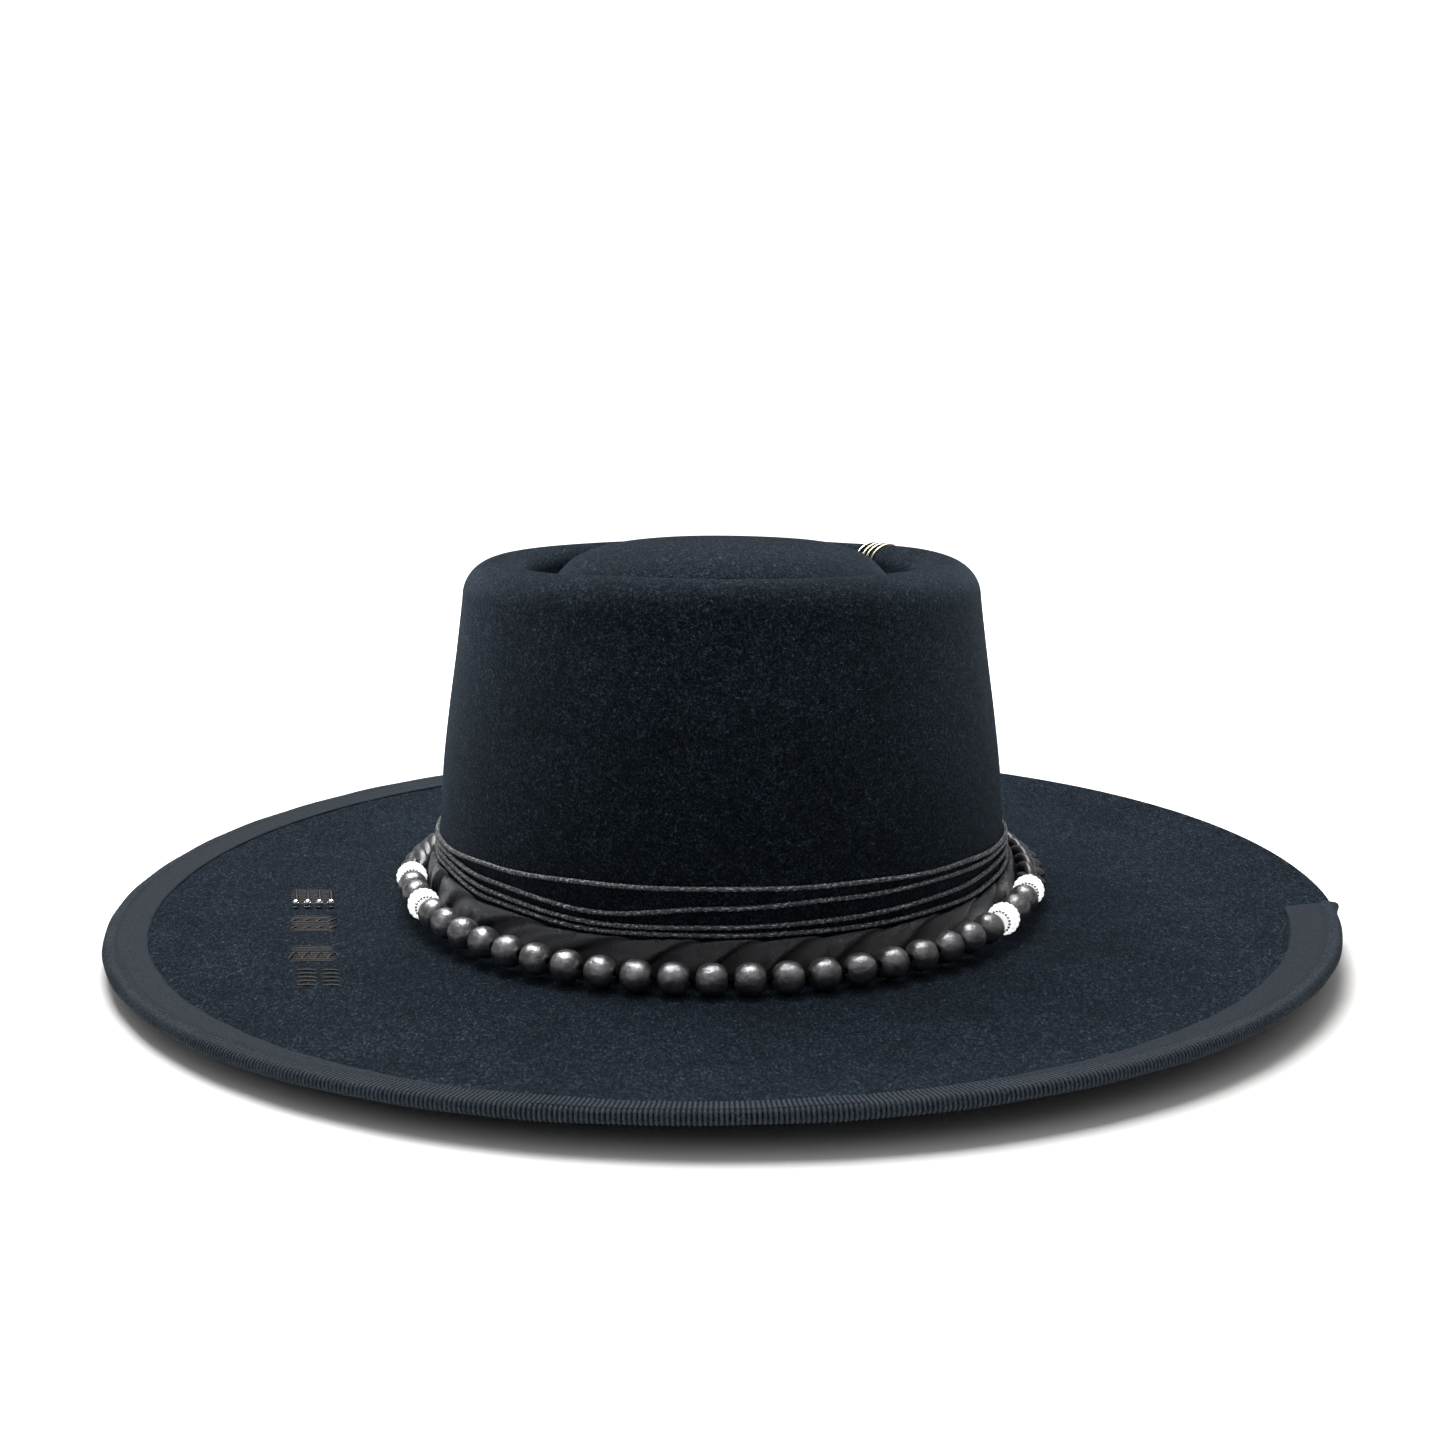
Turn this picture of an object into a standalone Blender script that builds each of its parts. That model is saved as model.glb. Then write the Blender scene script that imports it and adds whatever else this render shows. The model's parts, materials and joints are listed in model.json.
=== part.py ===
"""Flat-brimmed felt hat with a telescope crown, a ribbon-bound brim edge and a lift-off band of beads.

The hat stands on the flat inner ring of its brim at z = 0, with its front towards -Y and +Z up.
Angles round the hat run from the +X side towards the back (+Y). Lengths are in metres.
"""

from math import atan2, copysign, cos, pi, radians, sin, tau

import bmesh
import bpy
import numpy as np
from mathutils import Vector

GAP = 0.0003  # clearance between neighbouring pieces
STATIONS = 48  # sections round the hat
SMOOTH_ANGLE = 40  # degrees; sharper folds than this keep an edge
WELD = 0.00001

# Felt
FELT = 0.0024
BASE_HALF_WIDTH = 0.0892  # crown wall where it meets the brim
CROWN_STRETCH = 0.0154  # how much longer than wide each crown section is, each way
BREAK_RADIUS = 0.004  # fillet between crown and brim
BASE_EXPONENT = 2.1
RIM_HALF_WIDTH = 0.0693  # crest of the crown's rim
RIM_HEIGHT = 0.109
RIM_OUTER_RADIUS = 0.011
RIM_INNER_RADIUS = 0.007
GUTTER_HALF_WIDTH = 0.0583
GUTTER_FLOOR = 0.0965
GUTTER_RADIUS = 0.0045
DOME_HEIGHT = 0.1148
WALL = [(0.0889, 0.020), (0.0876, 0.041), (0.0849, 0.064), (0.0825, 0.081)]
DOME = [(0.0505, 0.1046), (0.0462, 0.1085), (0.0385, 0.1117), (0.0215, 0.1141)]

# Brim
RIBBON = 0.0006
EDGE_HALF_WIDTH = 0.1871 - GAP - RIBBON
EDGE_HALF_LENGTH = 0.2031 - GAP - RIBBON
EDGE_EXPONENT = 2.05
FLAT_SHARE = 0.28  # part of the brim's width that lies flat
RISE_POWER = 2.2
BRIM_STEPS = (1.0, 0.867, 0.62, 0.44, 0.28, 0.10)

# Edge ribbon: it leaves the rear right of the brim as raw felt
RIBBON_TOP_WIDTH = 0.0124
RIBBON_SIDE_WIDTH = 0.0008  # wider by this on the right and narrower by it on the left
RIBBON_FRONT_LOSS = 0.0049  # narrower by this at the front
RIBBON_FRONT_POWER = 6
RIBBON_UNDER_SHARE = 0.10
RIBBON_ROUND = 0.0004  # how far the fold's flat edge stops short of the felt's surfaces
RIBBON_FIRST = 11  # stations, counted from just behind +X
RIBBON_LAST = 46

# Sweatband
LEATHER = 0.001
SWEATBAND_GAP = 0.0004
SWEATBAND_BOTTOM = 0.0006
SWEATBAND_BEND = 0.010  # it hangs straight below this height
SWEATBAND_TOP = 0.038
REED_RADIUS = 0.0007
REED_INSET = 0.0016  # from the foot of the crown's wall to the reed's centre line

# Satin twist and waxed cords round the crown
TWIST_INNER = 0.0003
TWIST_THICKNESS = 0.0028
TWIST_BOTTOM = 0.0046
TWIST_SIDES = 8
CORD_RADIUS = 0.0007
CORD_ANGLES = (0, 90, 180, 205, 225, 250, 270, 290, 315, 335)
CORD_HEIGHTS = {
    "waxed_cord_1": (24.9, 25.3, 25.9, 26.8, 28.0, 28.8, 28.9, 28.8, 28.0, 26.9),
    "waxed_cord_2": (23.1, 23.5, 24.1, 24.9, 23.6, 21.2, 23.8, 25.0, 25.5, 25.1),
    "waxed_cord_3": (21.3, 21.7, 22.3, 22.9, 20.6, 18.2, 18.7, 19.5, 20.9, 22.2),
    "waxed_cord_4": (19.4, 19.9, 20.5, 21.0, 18.4, 16.3, 16.7, 16.8, 17.2, 18.2),
}

# Bead strand
STRAND_HALF_WIDTH = 0.09775
STRAND_HALF_LENGTH = 0.1135
STRAND_EXPONENT = 2.08
STRAND_FRONT_HEIGHT = 0.0071
STRAND_SIDE_HEIGHT = 0.0120
STRAND_BACK_HEIGHT = 0.0079
STRING_RADIUS = 0.0006
ROPE_RADIUS = 0.0045
ROPE_STEPS = 34
STRAND_SAMPLES = 1440
TANGENT_STEP = 0.0005
BEAD_PITCH = 0.01003
BEAD_SHIFT = -0.0076  # middle of the bead row, along the strand from the front
BEAD_COUNT = 28
SILVER_PLACES = (0, 3, 24, 27)
DARK_BEAD = (0.0044, 0.0043)  # radius, half length
SILVER_BEAD = (0.0049, 0.0035)
BORE_RADIUS = 0.0011
BEAD_ARCS = 4
BEAD_SIDES = 10

# Ball studs with their stitched bars on the left of the brim
STUD_RADIUS = 0.0012
STUD_FOOT_RADIUS = 0.0008
STUD_FIRST = (-0.1315, -0.0268)
STUD_STEP = (0.0036, 0.0002)
STUD_COUNT = 4
STUD_SIDES = 8
STUD_ARCS = 5
STUD_ARC_STEP = 25  # degrees
STUD_STAND = 0.0001  # the nap keeps a foot this far off the felt
BAR_LENGTH = 0.0180
BAR_LEAN = -0.24  # sideways for each unit of length
BAR_CROWN = 0.6  # width of a bar's top, as a share of its foot
BAR_WIDTH = (0.0012, 0.0007)
BAR_HEIGHT = 0.0007

# Wire stitches over the rear right of the crown's rim
STITCH_RADIUS = 0.00045
STITCH_ANGLES = (42.5, 40.0, 38.0, 35.5)
STITCH_LEAN = 1.6  # degrees round the crown between a stitch's ends
STITCH_ARC = (70.0, 168.0)  # degrees over the rim, from outside to inside
STITCH_STEPS = 6


def oval(half_width, half_length, exponent, angle):
    """A point of a superellipse, for an angle in radians."""
    c, s = cos(angle), sin(angle)
    x = half_width * copysign(abs(c) ** (2 / exponent), c)
    y = half_length * copysign(abs(s) ** (2 / exponent), s)
    return x, y


def station_angle(index):
    return (index + 0.5) * tau / STATIONS


def collection(name):
    made = bpy.data.collections.new(name)
    bpy.context.scene.collection.children.link(made)
    return made


def material(name, colour, roughness, metallic=0.0):
    made = bpy.data.materials.new(name)
    made.use_nodes = True
    shader = made.node_tree.nodes["Principled BSDF"]
    shader.inputs["Base Color"].default_value = (*colour, 1.0)
    shader.inputs["Roughness"].default_value = roughness
    shader.inputs["Metallic"].default_value = metallic
    return made


def add_object(name, data, finish):
    made = bpy.data.objects.new(name, data)
    bpy.data.collections["felt_hat"].objects.link(made)
    data.materials.append(finish)
    return made


def mesh_object(name, points, faces, finish):
    mesh = bpy.data.meshes.new(name)
    mesh.from_pydata([tuple(p) for p in points], [], faces)
    mesh.shade_smooth()
    mesh.set_sharp_from_angle(angle=radians(SMOOTH_ANGLE))
    return add_object(name, mesh, finish)


def turned_object(name, profile, closed, sides, finish):
    """A solid turned about local Z from a profile in its XZ plane."""
    count = len(profile)
    edges = [(k, (k + 1) % count) for k in range(count if closed else count - 1)]
    mesh = bpy.data.meshes.new(name)
    mesh.from_pydata(profile, edges, [])
    made = add_object(name, mesh, finish)
    turn = made.modifiers.new("turn", "SCREW")
    turn.axis = "Z"
    turn.angle = tau
    turn.steps = sides
    turn.render_steps = sides
    turn.use_merge_vertices = True
    turn.merge_threshold = WELD
    return made


def bridge(first, second, count):
    """Quads between two rings of vertices that start at the indices given."""
    faces = []
    for i in range(count):
        j = (i + 1) % count
        faces.append((first + i, first + j, second + j, second + i))
    return faces


def wall_half_width(height):
    """Half width of the crown's outer wall at a height."""
    rim_foot = (RIM_HALF_WIDTH + RIM_OUTER_RADIUS, RIM_HEIGHT - RIM_OUTER_RADIUS)
    points = [(BASE_HALF_WIDTH, FELT + BREAK_RADIUS), *WALL, rim_foot]
    widths, heights = zip(*points)
    return float(np.interp(height, heights, widths))


def wall_point(height, outwards, angle):
    """A point at a distance outside the crown's wall."""
    half = wall_half_width(height) + outwards
    x, y = oval(half, half + CROWN_STRETCH, BASE_EXPONENT, angle)
    return Vector((x, y, height))


def edge_rise(angle):
    """How far the brim's edge stands above its flat inner ring: higher on the right and at the back."""
    twist = -0.55 * cos(2 * angle) - 0.52 * sin(2 * angle)
    tilt = 1.81 * cos(angle) + 0.90 * sin(angle)
    return (4.25 + twist + tilt) / 1000


def brim_top(share, angle):
    """A point on top of the brim: share is 0 at the crown's fillet and 1 at the felt's edge."""
    start = BASE_HALF_WIDTH + BREAK_RADIUS
    half_width = start + (EDGE_HALF_WIDTH - start) * share
    half_length = start + CROWN_STRETCH
    half_length += (EDGE_HALF_LENGTH - half_length) * share
    exponent = BASE_EXPONENT + (EDGE_EXPONENT - BASE_EXPONENT) * min(share, 1.0)
    x, y = oval(half_width, half_length, exponent, angle)
    curl = max(0.0, (share - FLAT_SHARE) / (1 - FLAT_SHARE)) ** RISE_POWER
    return Vector((x, y, FELT + edge_rise(angle) * curl))


def brim_point(share, height, angle):
    """A point at a height above the brim's top surface, measured square to it."""
    step = 0.01
    across = brim_top(share + step, angle) - brim_top(share - step, angle)
    along = brim_top(share, angle + step) - brim_top(share, angle - step)
    return brim_top(share, angle) + across.cross(along).normalized() * height


def arc(centre, radius, first, last, steps):
    """Points of a circle in the crown's profile, from one angle in degrees to another."""
    found = []
    for i in range(steps + 1):
        a = radians(first + (last - first) * i / steps)
        found.append((centre[0] + radius * cos(a), centre[1] + radius * sin(a)))
    return found


def crown_profile():
    """(half width, height) down to up: fillet, wall, rim, gutter and dome."""
    start = BASE_HALF_WIDTH + BREAK_RADIUS
    fillet = arc((start, FELT + BREAK_RADIUS), BREAK_RADIUS, 270, 180, 2)
    outer = (RIM_HALF_WIDTH, RIM_HEIGHT - RIM_OUTER_RADIUS)
    inner = (RIM_HALF_WIDTH, RIM_HEIGHT - RIM_INNER_RADIUS)
    gutter = (GUTTER_HALF_WIDTH, GUTTER_FLOOR + GUTTER_RADIUS)
    rim = arc(outer, RIM_OUTER_RADIUS, 0, 90, 3)
    rim += arc(inner, RIM_INNER_RADIUS, 90, 165, 2)[1:]
    trough = arc(gutter, GUTTER_RADIUS, 345, 195, 3)
    return [*fillet, *WALL, *rim, *trough, *DOME]


def crown_ring(half_width, height):
    """One section of the crown; the dome's sections shrink in proportion to its foot."""
    foot = DOME[0][0]
    if half_width < foot and height > RIM_HEIGHT - RIM_OUTER_RADIUS:
        stretch = CROWN_STRETCH * half_width / foot
    else:
        stretch = CROWN_STRETCH
    return [
        (*oval(half_width, half_width + stretch, BASE_EXPONENT, station_angle(i)), height)
        for i in range(STATIONS)
    ]


def make_felt_body(finish):
    """Crown and brim in one sheet of felt: the outer surface, thickened inwards."""
    rings = [[brim_top(s, station_angle(i)) for i in range(STATIONS)] for s in BRIM_STEPS]
    rings += [crown_ring(half, height) for half, height in crown_profile()]
    points = [p for ring in rings for p in ring]
    faces = []
    for k in range(len(rings) - 1):
        faces += bridge(k * STATIONS, (k + 1) * STATIONS, STATIONS)
    top = len(points)
    points.append((0.0, 0.0, DOME_HEIGHT))
    last = top - STATIONS
    faces += [(last + i, last + (i + 1) % STATIONS, top) for i in range(STATIONS)]
    made = mesh_object("felt_body", points, faces, finish)
    shell = made.modifiers.new("felt", "SOLIDIFY")
    shell.thickness = FELT
    shell.offset = -1.0
    return made


def sweep(name, rings, finish, closed=True):
    """A solid through rings of equal size; an open one gets a cap at each end."""
    count = len(rings[0])
    points = [p for ring in rings for p in ring]
    faces = []
    for k in range(len(rings) if closed else len(rings) - 1):
        first, second = k * count, (k + 1) % len(rings) * count
        faces += bridge(first, second, count)
    if not closed:
        last = (len(rings) - 1) * count
        faces.append(tuple(reversed(range(count))))
        faces.append(tuple(last + i for i in range(count)))
    return mesh_object(name, points, faces, finish)


def ribbon_width(angle):
    """How far the ribbon reaches in over the brim's top; it is narrowest at the front."""
    front = max(0.0, -sin(angle)) ** RIBBON_FRONT_POWER
    return RIBBON_TOP_WIDTH + RIBBON_SIDE_WIDTH * cos(angle) - RIBBON_FRONT_LOSS * front


def ribbon_section(angle):
    """The folded ribbon: over the brim, round its edge and back under it."""
    width = EDGE_HALF_WIDTH - BASE_HALF_WIDTH - BREAK_RADIUS
    clear = 1 + GAP / width
    out = 1 + (GAP + RIBBON) / width
    top, under = 1 - ribbon_width(angle) / width, 1 - RIBBON_UNDER_SHARE
    above, below = GAP, -FELT - GAP
    outline = [
        (top, above + RIBBON),
        (1.0, above + RIBBON),
        (out, -RIBBON_ROUND),
        (out, -FELT + RIBBON_ROUND),
        (1.0, below - RIBBON),
        (under, below - RIBBON),
        (under, below),
        (clear, below),
        (clear, above),
        (top, above),
    ]
    return [brim_point(share, height, angle) for share, height in outline]


def make_brim_binding(finish):
    rings = [ribbon_section(station_angle(i)) for i in range(RIBBON_FIRST, RIBBON_LAST + 1)]
    return sweep("brim_binding", rings, finish, closed=False)


def make_sweatband(finish):
    """A leather band that follows the inside of the crown's wall."""
    outer = -FELT - SWEATBAND_GAP
    section = [
        (SWEATBAND_BEND, outer - LEATHER),
        (SWEATBAND_TOP, outer - LEATHER),
        (SWEATBAND_TOP, outer),
        (SWEATBAND_BEND, outer),
    ]
    bottom = wall_half_width(SWEATBAND_BEND)
    rings = []
    for i in range(STATIONS):
        angle = station_angle(i)
        ring = [wall_point(height, offset, angle) for height, offset in section]
        for offset in (outer, outer - LEATHER):
            x, y = oval(bottom + offset, bottom + offset + CROWN_STRETCH, BASE_EXPONENT, angle)
            ring.append(Vector((x, y, SWEATBAND_BOTTOM)))
        rings.append(ring)
    return sweep("sweatband", rings, finish)


def tube(name, points, radius, finish, closed, sides=1):
    """A round cord or wire along a line of points; sides sets how round it is."""
    curve = bpy.data.curves.new(name, "CURVE")
    curve.dimensions = "3D"
    line = curve.splines.new("POLY")
    line.points.add(len(points) - 1)
    for vertex, place in zip(line.points, points):
        vertex.co = (*place, 1.0)
    line.use_cyclic_u = closed
    curve.bevel_depth = radius
    curve.bevel_resolution = sides
    curve.use_fill_caps = True
    return add_object(name, curve, finish)


def make_reed(finish):
    """The round reed sewn into the fold where the sweatband meets the brim."""
    half = BASE_HALF_WIDTH - REED_INSET
    height = SWEATBAND_BOTTOM + REED_RADIUS
    points = [
        (*oval(half, half + CROWN_STRETCH, BASE_EXPONENT, station_angle(i)), height)
        for i in range(STATIONS)
    ]
    return tube("sweatband_reed", points, REED_RADIUS, finish, closed=True)


def cord_height(name, angle):
    """Height of a waxed cord, eased between the heights named for it."""
    heights = CORD_HEIGHTS[name]
    angles = (*CORD_ANGLES, 360 + CORD_ANGLES[0])
    degrees = angle * 360 / tau % 360
    k = max(i for i in range(len(CORD_ANGLES)) if angles[i] <= degrees)
    t = (degrees - angles[k]) / (angles[k + 1] - angles[k])
    ease = t * t * (3 - 2 * t)
    low, high = heights[k], heights[(k + 1) % len(heights)]
    return (low + (high - low) * ease) / 1000


def make_waxed_cords(finish):
    offset = GAP + CORD_RADIUS
    for name in CORD_HEIGHTS:
        angles = [station_angle(i) for i in range(STATIONS)]
        points = [wall_point(cord_height(name, a), offset, a) for a in angles]
        tube(name, points, CORD_RADIUS, finish, closed=True)


def make_satin_twist(finish):
    """The rolled satin under the cords, as one plain ring of its outer shape."""
    rings = []
    for i in range(STATIONS):
        angle = station_angle(i)
        top = cord_height("waxed_cord_4", angle) - CORD_RADIUS - GAP
        middle, half = (top + TWIST_BOTTOM) / 2, (top - TWIST_BOTTOM) / 2
        ring = []
        for k in range(TWIST_SIDES):
            turn = tau * k / TWIST_SIDES
            out = TWIST_INNER + TWIST_THICKNESS / 2 * (1 - cos(turn))
            ring.append(wall_point(middle + half * sin(turn), out, angle))
        rings.append(ring)
    return sweep("satin_twist", rings, finish)


def strand_point(angle):
    """The bead strand's centre line: it sags to the brim in front and rests higher at the sides."""
    x, y = oval(STRAND_HALF_WIDTH, STRAND_HALF_LENGTH, STRAND_EXPONENT, angle)
    middle = STRAND_FRONT_HEIGHT if sin(angle) < 0 else STRAND_BACK_HEIGHT
    return Vector((x, y, middle + (STRAND_SIDE_HEIGHT - middle) * cos(angle) ** 2))


class Strand:
    """The strand's centre line by length, measured from the front towards +X."""

    def __init__(self):
        turns = [1.5 * pi + tau * i / STRAND_SAMPLES for i in range(STRAND_SAMPLES + 1)]
        self.points = [strand_point(turn) for turn in turns]
        runs = [(b - a).length for a, b in zip(self.points, self.points[1:])]
        self.lengths = np.concatenate([[0.0], np.cumsum(runs)])
        self.total = float(self.lengths[-1])

    def at(self, length):
        length %= self.total
        return Vector([float(np.interp(length, self.lengths, axis)) for axis in zip(*self.points)])

    def tangent(self, length):
        return (self.at(length + TANGENT_STEP) - self.at(length - TANGENT_STEP)).normalized()


def bead_length(index):
    """Where a bead's centre is along the strand."""
    return BEAD_SHIFT + (index - (BEAD_COUNT - 1) / 2) * BEAD_PITCH


def make_bead(name, radius, half_length, place, along, finish):
    """A bead turned about its bore, with the string's direction as its axis."""
    end = atan2((1 - (BORE_RADIUS / radius) ** 2) ** 0.5, BORE_RADIUS / radius)
    profile = []
    for i in range(BEAD_ARCS + 1):
        a = end * (1 - 2 * i / BEAD_ARCS)
        profile.append((radius * cos(a), 0.0, half_length * sin(a)))
    made = turned_object(name, profile, True, BEAD_SIDES, finish)
    made.rotation_mode = "QUATERNION"
    made.rotation_quaternion = along.to_track_quat("Z", "Y")
    made.location = place
    return made


def make_beads(strand, parent, dark, silver):
    for index in range(BEAD_COUNT):
        is_silver = index in SILVER_PLACES
        radius, half_length = SILVER_BEAD if is_silver else DARK_BEAD
        finish = silver if is_silver else dark
        length = bead_length(index)
        name = f"bead_{index + 1:02d}"
        place, along = strand.at(length), strand.tangent(length)
        made = make_bead(name, radius, half_length, place, along, finish)
        made.parent = parent


def make_bead_string(strand, parent, finish):
    """The string through the beads, up to the braided rope at each end of the row."""
    first = bead_length(0) - BEAD_PITCH / 2
    last = bead_length(BEAD_COUNT - 1) + BEAD_PITCH / 2
    count = 2 * BEAD_COUNT
    points = [strand.at(first + (last - first) * i / count) for i in range(count + 1)]
    made = tube("bead_string", points, STRING_RADIUS, finish, closed=False)
    made.parent = parent


def make_braided_rope(strand, parent, finish):
    """The braid that closes the strand round the back, as one plain round cord."""
    first = bead_length(BEAD_COUNT - 1) + BEAD_PITCH / 2 + GAP
    last = bead_length(0) - BEAD_PITCH / 2 - GAP + strand.total
    points = [strand.at(first + (last - first) * i / ROPE_STEPS) for i in range(ROPE_STEPS + 1)]
    made = tube("braided_rope", points, ROPE_RADIUS, finish, closed=False, sides=2)
    made.parent = parent


def make_studs(finish):
    """Ball studs on a short foot, in a row on the left of the brim."""
    for index in range(STUD_COUNT):
        profile = [(0.0, 0.0, 2 * STUD_RADIUS)]
        for i in range(1, STUD_ARCS + 1):
            a = radians(90 - STUD_ARC_STEP * i)
            profile.append((STUD_RADIUS * cos(a), 0.0, STUD_RADIUS * (1 + sin(a))))
        profile += [(STUD_FOOT_RADIUS, 0.0, 0.0), (0.0, 0.0, 0.0)]
        made = turned_object(f"ball_stud_{index + 1}", profile, False, STUD_SIDES, finish)
        made.location = stud_place(index)


def stud_place(index):
    """The foot of a stud, just above the brim."""
    x = STUD_FIRST[0] + STUD_STEP[0] * index
    y = STUD_FIRST[1] + STUD_STEP[1] * index
    return Vector((x, y, brim_height(x, y) + GAP))


def brim_height(x, y):
    """Height of the brim's top surface, found along the line from the hat's centre."""
    low, high = 0.0, 1.0
    for _ in range(40):
        share = (low + high) / 2
        start = BASE_HALF_WIDTH + BREAK_RADIUS
        half_width = start + (EDGE_HALF_WIDTH - start) * share
        half_length = start + CROWN_STRETCH
        half_length += (EDGE_HALF_LENGTH - half_length) * share
        if abs(x / half_width) ** BASE_EXPONENT + abs(y / half_length) ** BASE_EXPONENT > 1:
            low = share
        else:
            high = share
    angle = atan2(y / half_length, x / half_width)
    return max(brim_top(share, angle).z, FELT) + STUD_STAND


def make_stitched_bars(finish):
    """A raised bar of thread behind each stud, tapering away from it."""
    for index in range(STUD_COUNT):
        near = stud_place(index) + Vector((0.0, STUD_RADIUS + GAP, 0.0))
        mesh = bpy.data.meshes.new(f"stitched_bar_{index + 1}")
        shape = bmesh.new()
        bmesh.ops.create_cube(shape, size=1.0)
        for vertex in shape.verts:
            width = BAR_WIDTH[0] if vertex.co.y < 0 else BAR_WIDTH[1]
            crown = BAR_CROWN if vertex.co.z > 0 else 1.0
            vertex.co.y = (vertex.co.y + 0.5) * BAR_LENGTH
            vertex.co.x = vertex.co.x * width * crown + vertex.co.y * BAR_LEAN
            vertex.co.z = (vertex.co.z + 0.5) * BAR_HEIGHT
        shape.to_mesh(mesh)
        shape.free()
        made = add_object(f"stitched_bar_{index + 1}", mesh, finish)
        made.location = near


def make_crown_stitches(finish):
    """Short wire stitches that hook over the crown's rim into its gutter."""
    centre_height = RIM_HEIGHT - RIM_INNER_RADIUS
    radius = RIM_INNER_RADIUS + GAP + STITCH_RADIUS
    first, last = STITCH_ARC
    for index, side in enumerate(STITCH_ANGLES):
        points = []
        for i in range(STITCH_STEPS + 1):
            share = i / STITCH_STEPS
            over = radians(first + (last - first) * share)
            half = RIM_HALF_WIDTH + radius * cos(over)
            angle = radians(side + STITCH_LEAN * (share - 0.5))
            x, y = oval(half, half + CROWN_STRETCH, BASE_EXPONENT, angle)
            points.append((x, y, centre_height + radius * sin(over)))
        tube(f"crown_stitch_{index + 1}", points, STITCH_RADIUS, finish, closed=False)


def main():
    for old in list(bpy.data.objects):
        bpy.data.objects.remove(old, do_unlink=True)
    collection("felt_hat")
    strand = Strand()
    strand_parent = bpy.data.objects.new("bead_strand_lift", None)
    bpy.data.collections["felt_hat"].objects.link(strand_parent)

    make_felt_body(material("felt", (0.008, 0.011, 0.014), 0.95))
    make_brim_binding(material("grosgrain", (0.028, 0.030, 0.035), 0.75))
    make_sweatband(material("sweatband_leather", (0.02, 0.017, 0.015), 0.5))
    make_reed(material("reed", (0.05, 0.05, 0.05), 0.5))
    make_waxed_cords(material("waxed_cord", (0.02, 0.021, 0.024), 0.4))
    make_satin_twist(material("satin", (0.012, 0.014, 0.017), 0.35))
    make_bead_string(strand, strand_parent, material("string", (0.01, 0.01, 0.01), 0.7))
    make_braided_rope(strand, strand_parent, material("braid", (0.035, 0.034, 0.036), 0.45))
    dark = material("dark_bead", (0.035, 0.03, 0.032), 0.3, 0.4)
    silver = material("silver_bead", (0.85, 0.85, 0.86), 0.2, 1.0)
    make_beads(strand, strand_parent, dark, silver)
    make_studs(material("stud", (0.85, 0.85, 0.86), 0.15, 1.0))
    make_stitched_bars(material("thread", (0.005, 0.005, 0.005), 0.6))
    make_crown_stitches(material("stitch_wire", (0.78, 0.72, 0.55), 0.3, 0.8))


main()
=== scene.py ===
"""Looks of the flat-brimmed felt hat: felt, ribbon, satin, cords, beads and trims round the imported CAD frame.

Lengths are in metres, with the hat's front towards -Y. Angles run from +X towards the back, as in the CAD.
"""

import json
from math import atan2, cos, pi, radians, sin, sqrt, tau

import bpy
import numpy as np
from mathutils import Matrix, Vector


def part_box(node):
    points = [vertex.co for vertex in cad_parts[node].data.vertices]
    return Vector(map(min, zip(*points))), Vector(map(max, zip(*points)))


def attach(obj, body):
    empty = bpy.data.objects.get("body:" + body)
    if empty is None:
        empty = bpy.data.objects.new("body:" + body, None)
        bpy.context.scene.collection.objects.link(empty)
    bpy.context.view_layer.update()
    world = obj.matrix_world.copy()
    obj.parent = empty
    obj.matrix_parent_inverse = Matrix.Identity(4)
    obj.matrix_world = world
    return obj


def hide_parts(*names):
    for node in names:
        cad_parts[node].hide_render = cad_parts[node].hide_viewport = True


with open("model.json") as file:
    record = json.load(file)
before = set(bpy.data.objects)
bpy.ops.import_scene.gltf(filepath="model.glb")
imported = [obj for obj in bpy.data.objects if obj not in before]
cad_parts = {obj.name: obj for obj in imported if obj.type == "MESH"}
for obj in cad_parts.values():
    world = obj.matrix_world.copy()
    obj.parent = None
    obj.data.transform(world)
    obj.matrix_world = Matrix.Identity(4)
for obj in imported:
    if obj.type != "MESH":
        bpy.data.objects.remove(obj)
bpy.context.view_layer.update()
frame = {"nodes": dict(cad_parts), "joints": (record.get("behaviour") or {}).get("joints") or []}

# Camera
CAMERA_PLACE = (-0.0005, -0.560, 0.1496)
CAMERA_PITCH = 0.164  # radians below the horizon
CAMERA_LENS = 44.52

# Stage
FLOOR_DROP = 0.0040
HORIZON_LIGHT = 0.05
ZENITH_LIGHT = 0.60

# The hat's driving sizes, as in the CAD
FELT = 0.0024
BASE_HALF_WIDTH = 0.0892
CROWN_STRETCH = 0.0154
BREAK_RADIUS = 0.004
BASE_EXPONENT = 2.1
RIM_HALF_WIDTH = 0.0693
RIM_HEIGHT = 0.109
RIM_OUTER_RADIUS = 0.011
RIM_INNER_RADIUS = 0.007
GUTTER_HALF_WIDTH = 0.0583
GUTTER_FLOOR = 0.0965
GUTTER_RADIUS = 0.0045
DOME_HEIGHT = 0.1148
EDGE_BULGE = 0.0007
WALL = [(0.0889, 0.020), (0.0876, 0.041), (0.0849, 0.064), (0.0825, 0.081)]
DOME = [(0.0505, 0.1046), (0.0462, 0.1085), (0.0385, 0.1117), (0.0215, 0.1141)]
EDGE_HALF_WIDTH = 0.1862
EDGE_HALF_LENGTH = 0.2022
EDGE_EXPONENT = 2.05
FLAT_SHARE = 0.28
RISE_POWER = 2.2
BRIM_START = BASE_HALF_WIDTH + BREAK_RADIUS
BRIM_WIDTH = EDGE_HALF_WIDTH - BRIM_START

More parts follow.
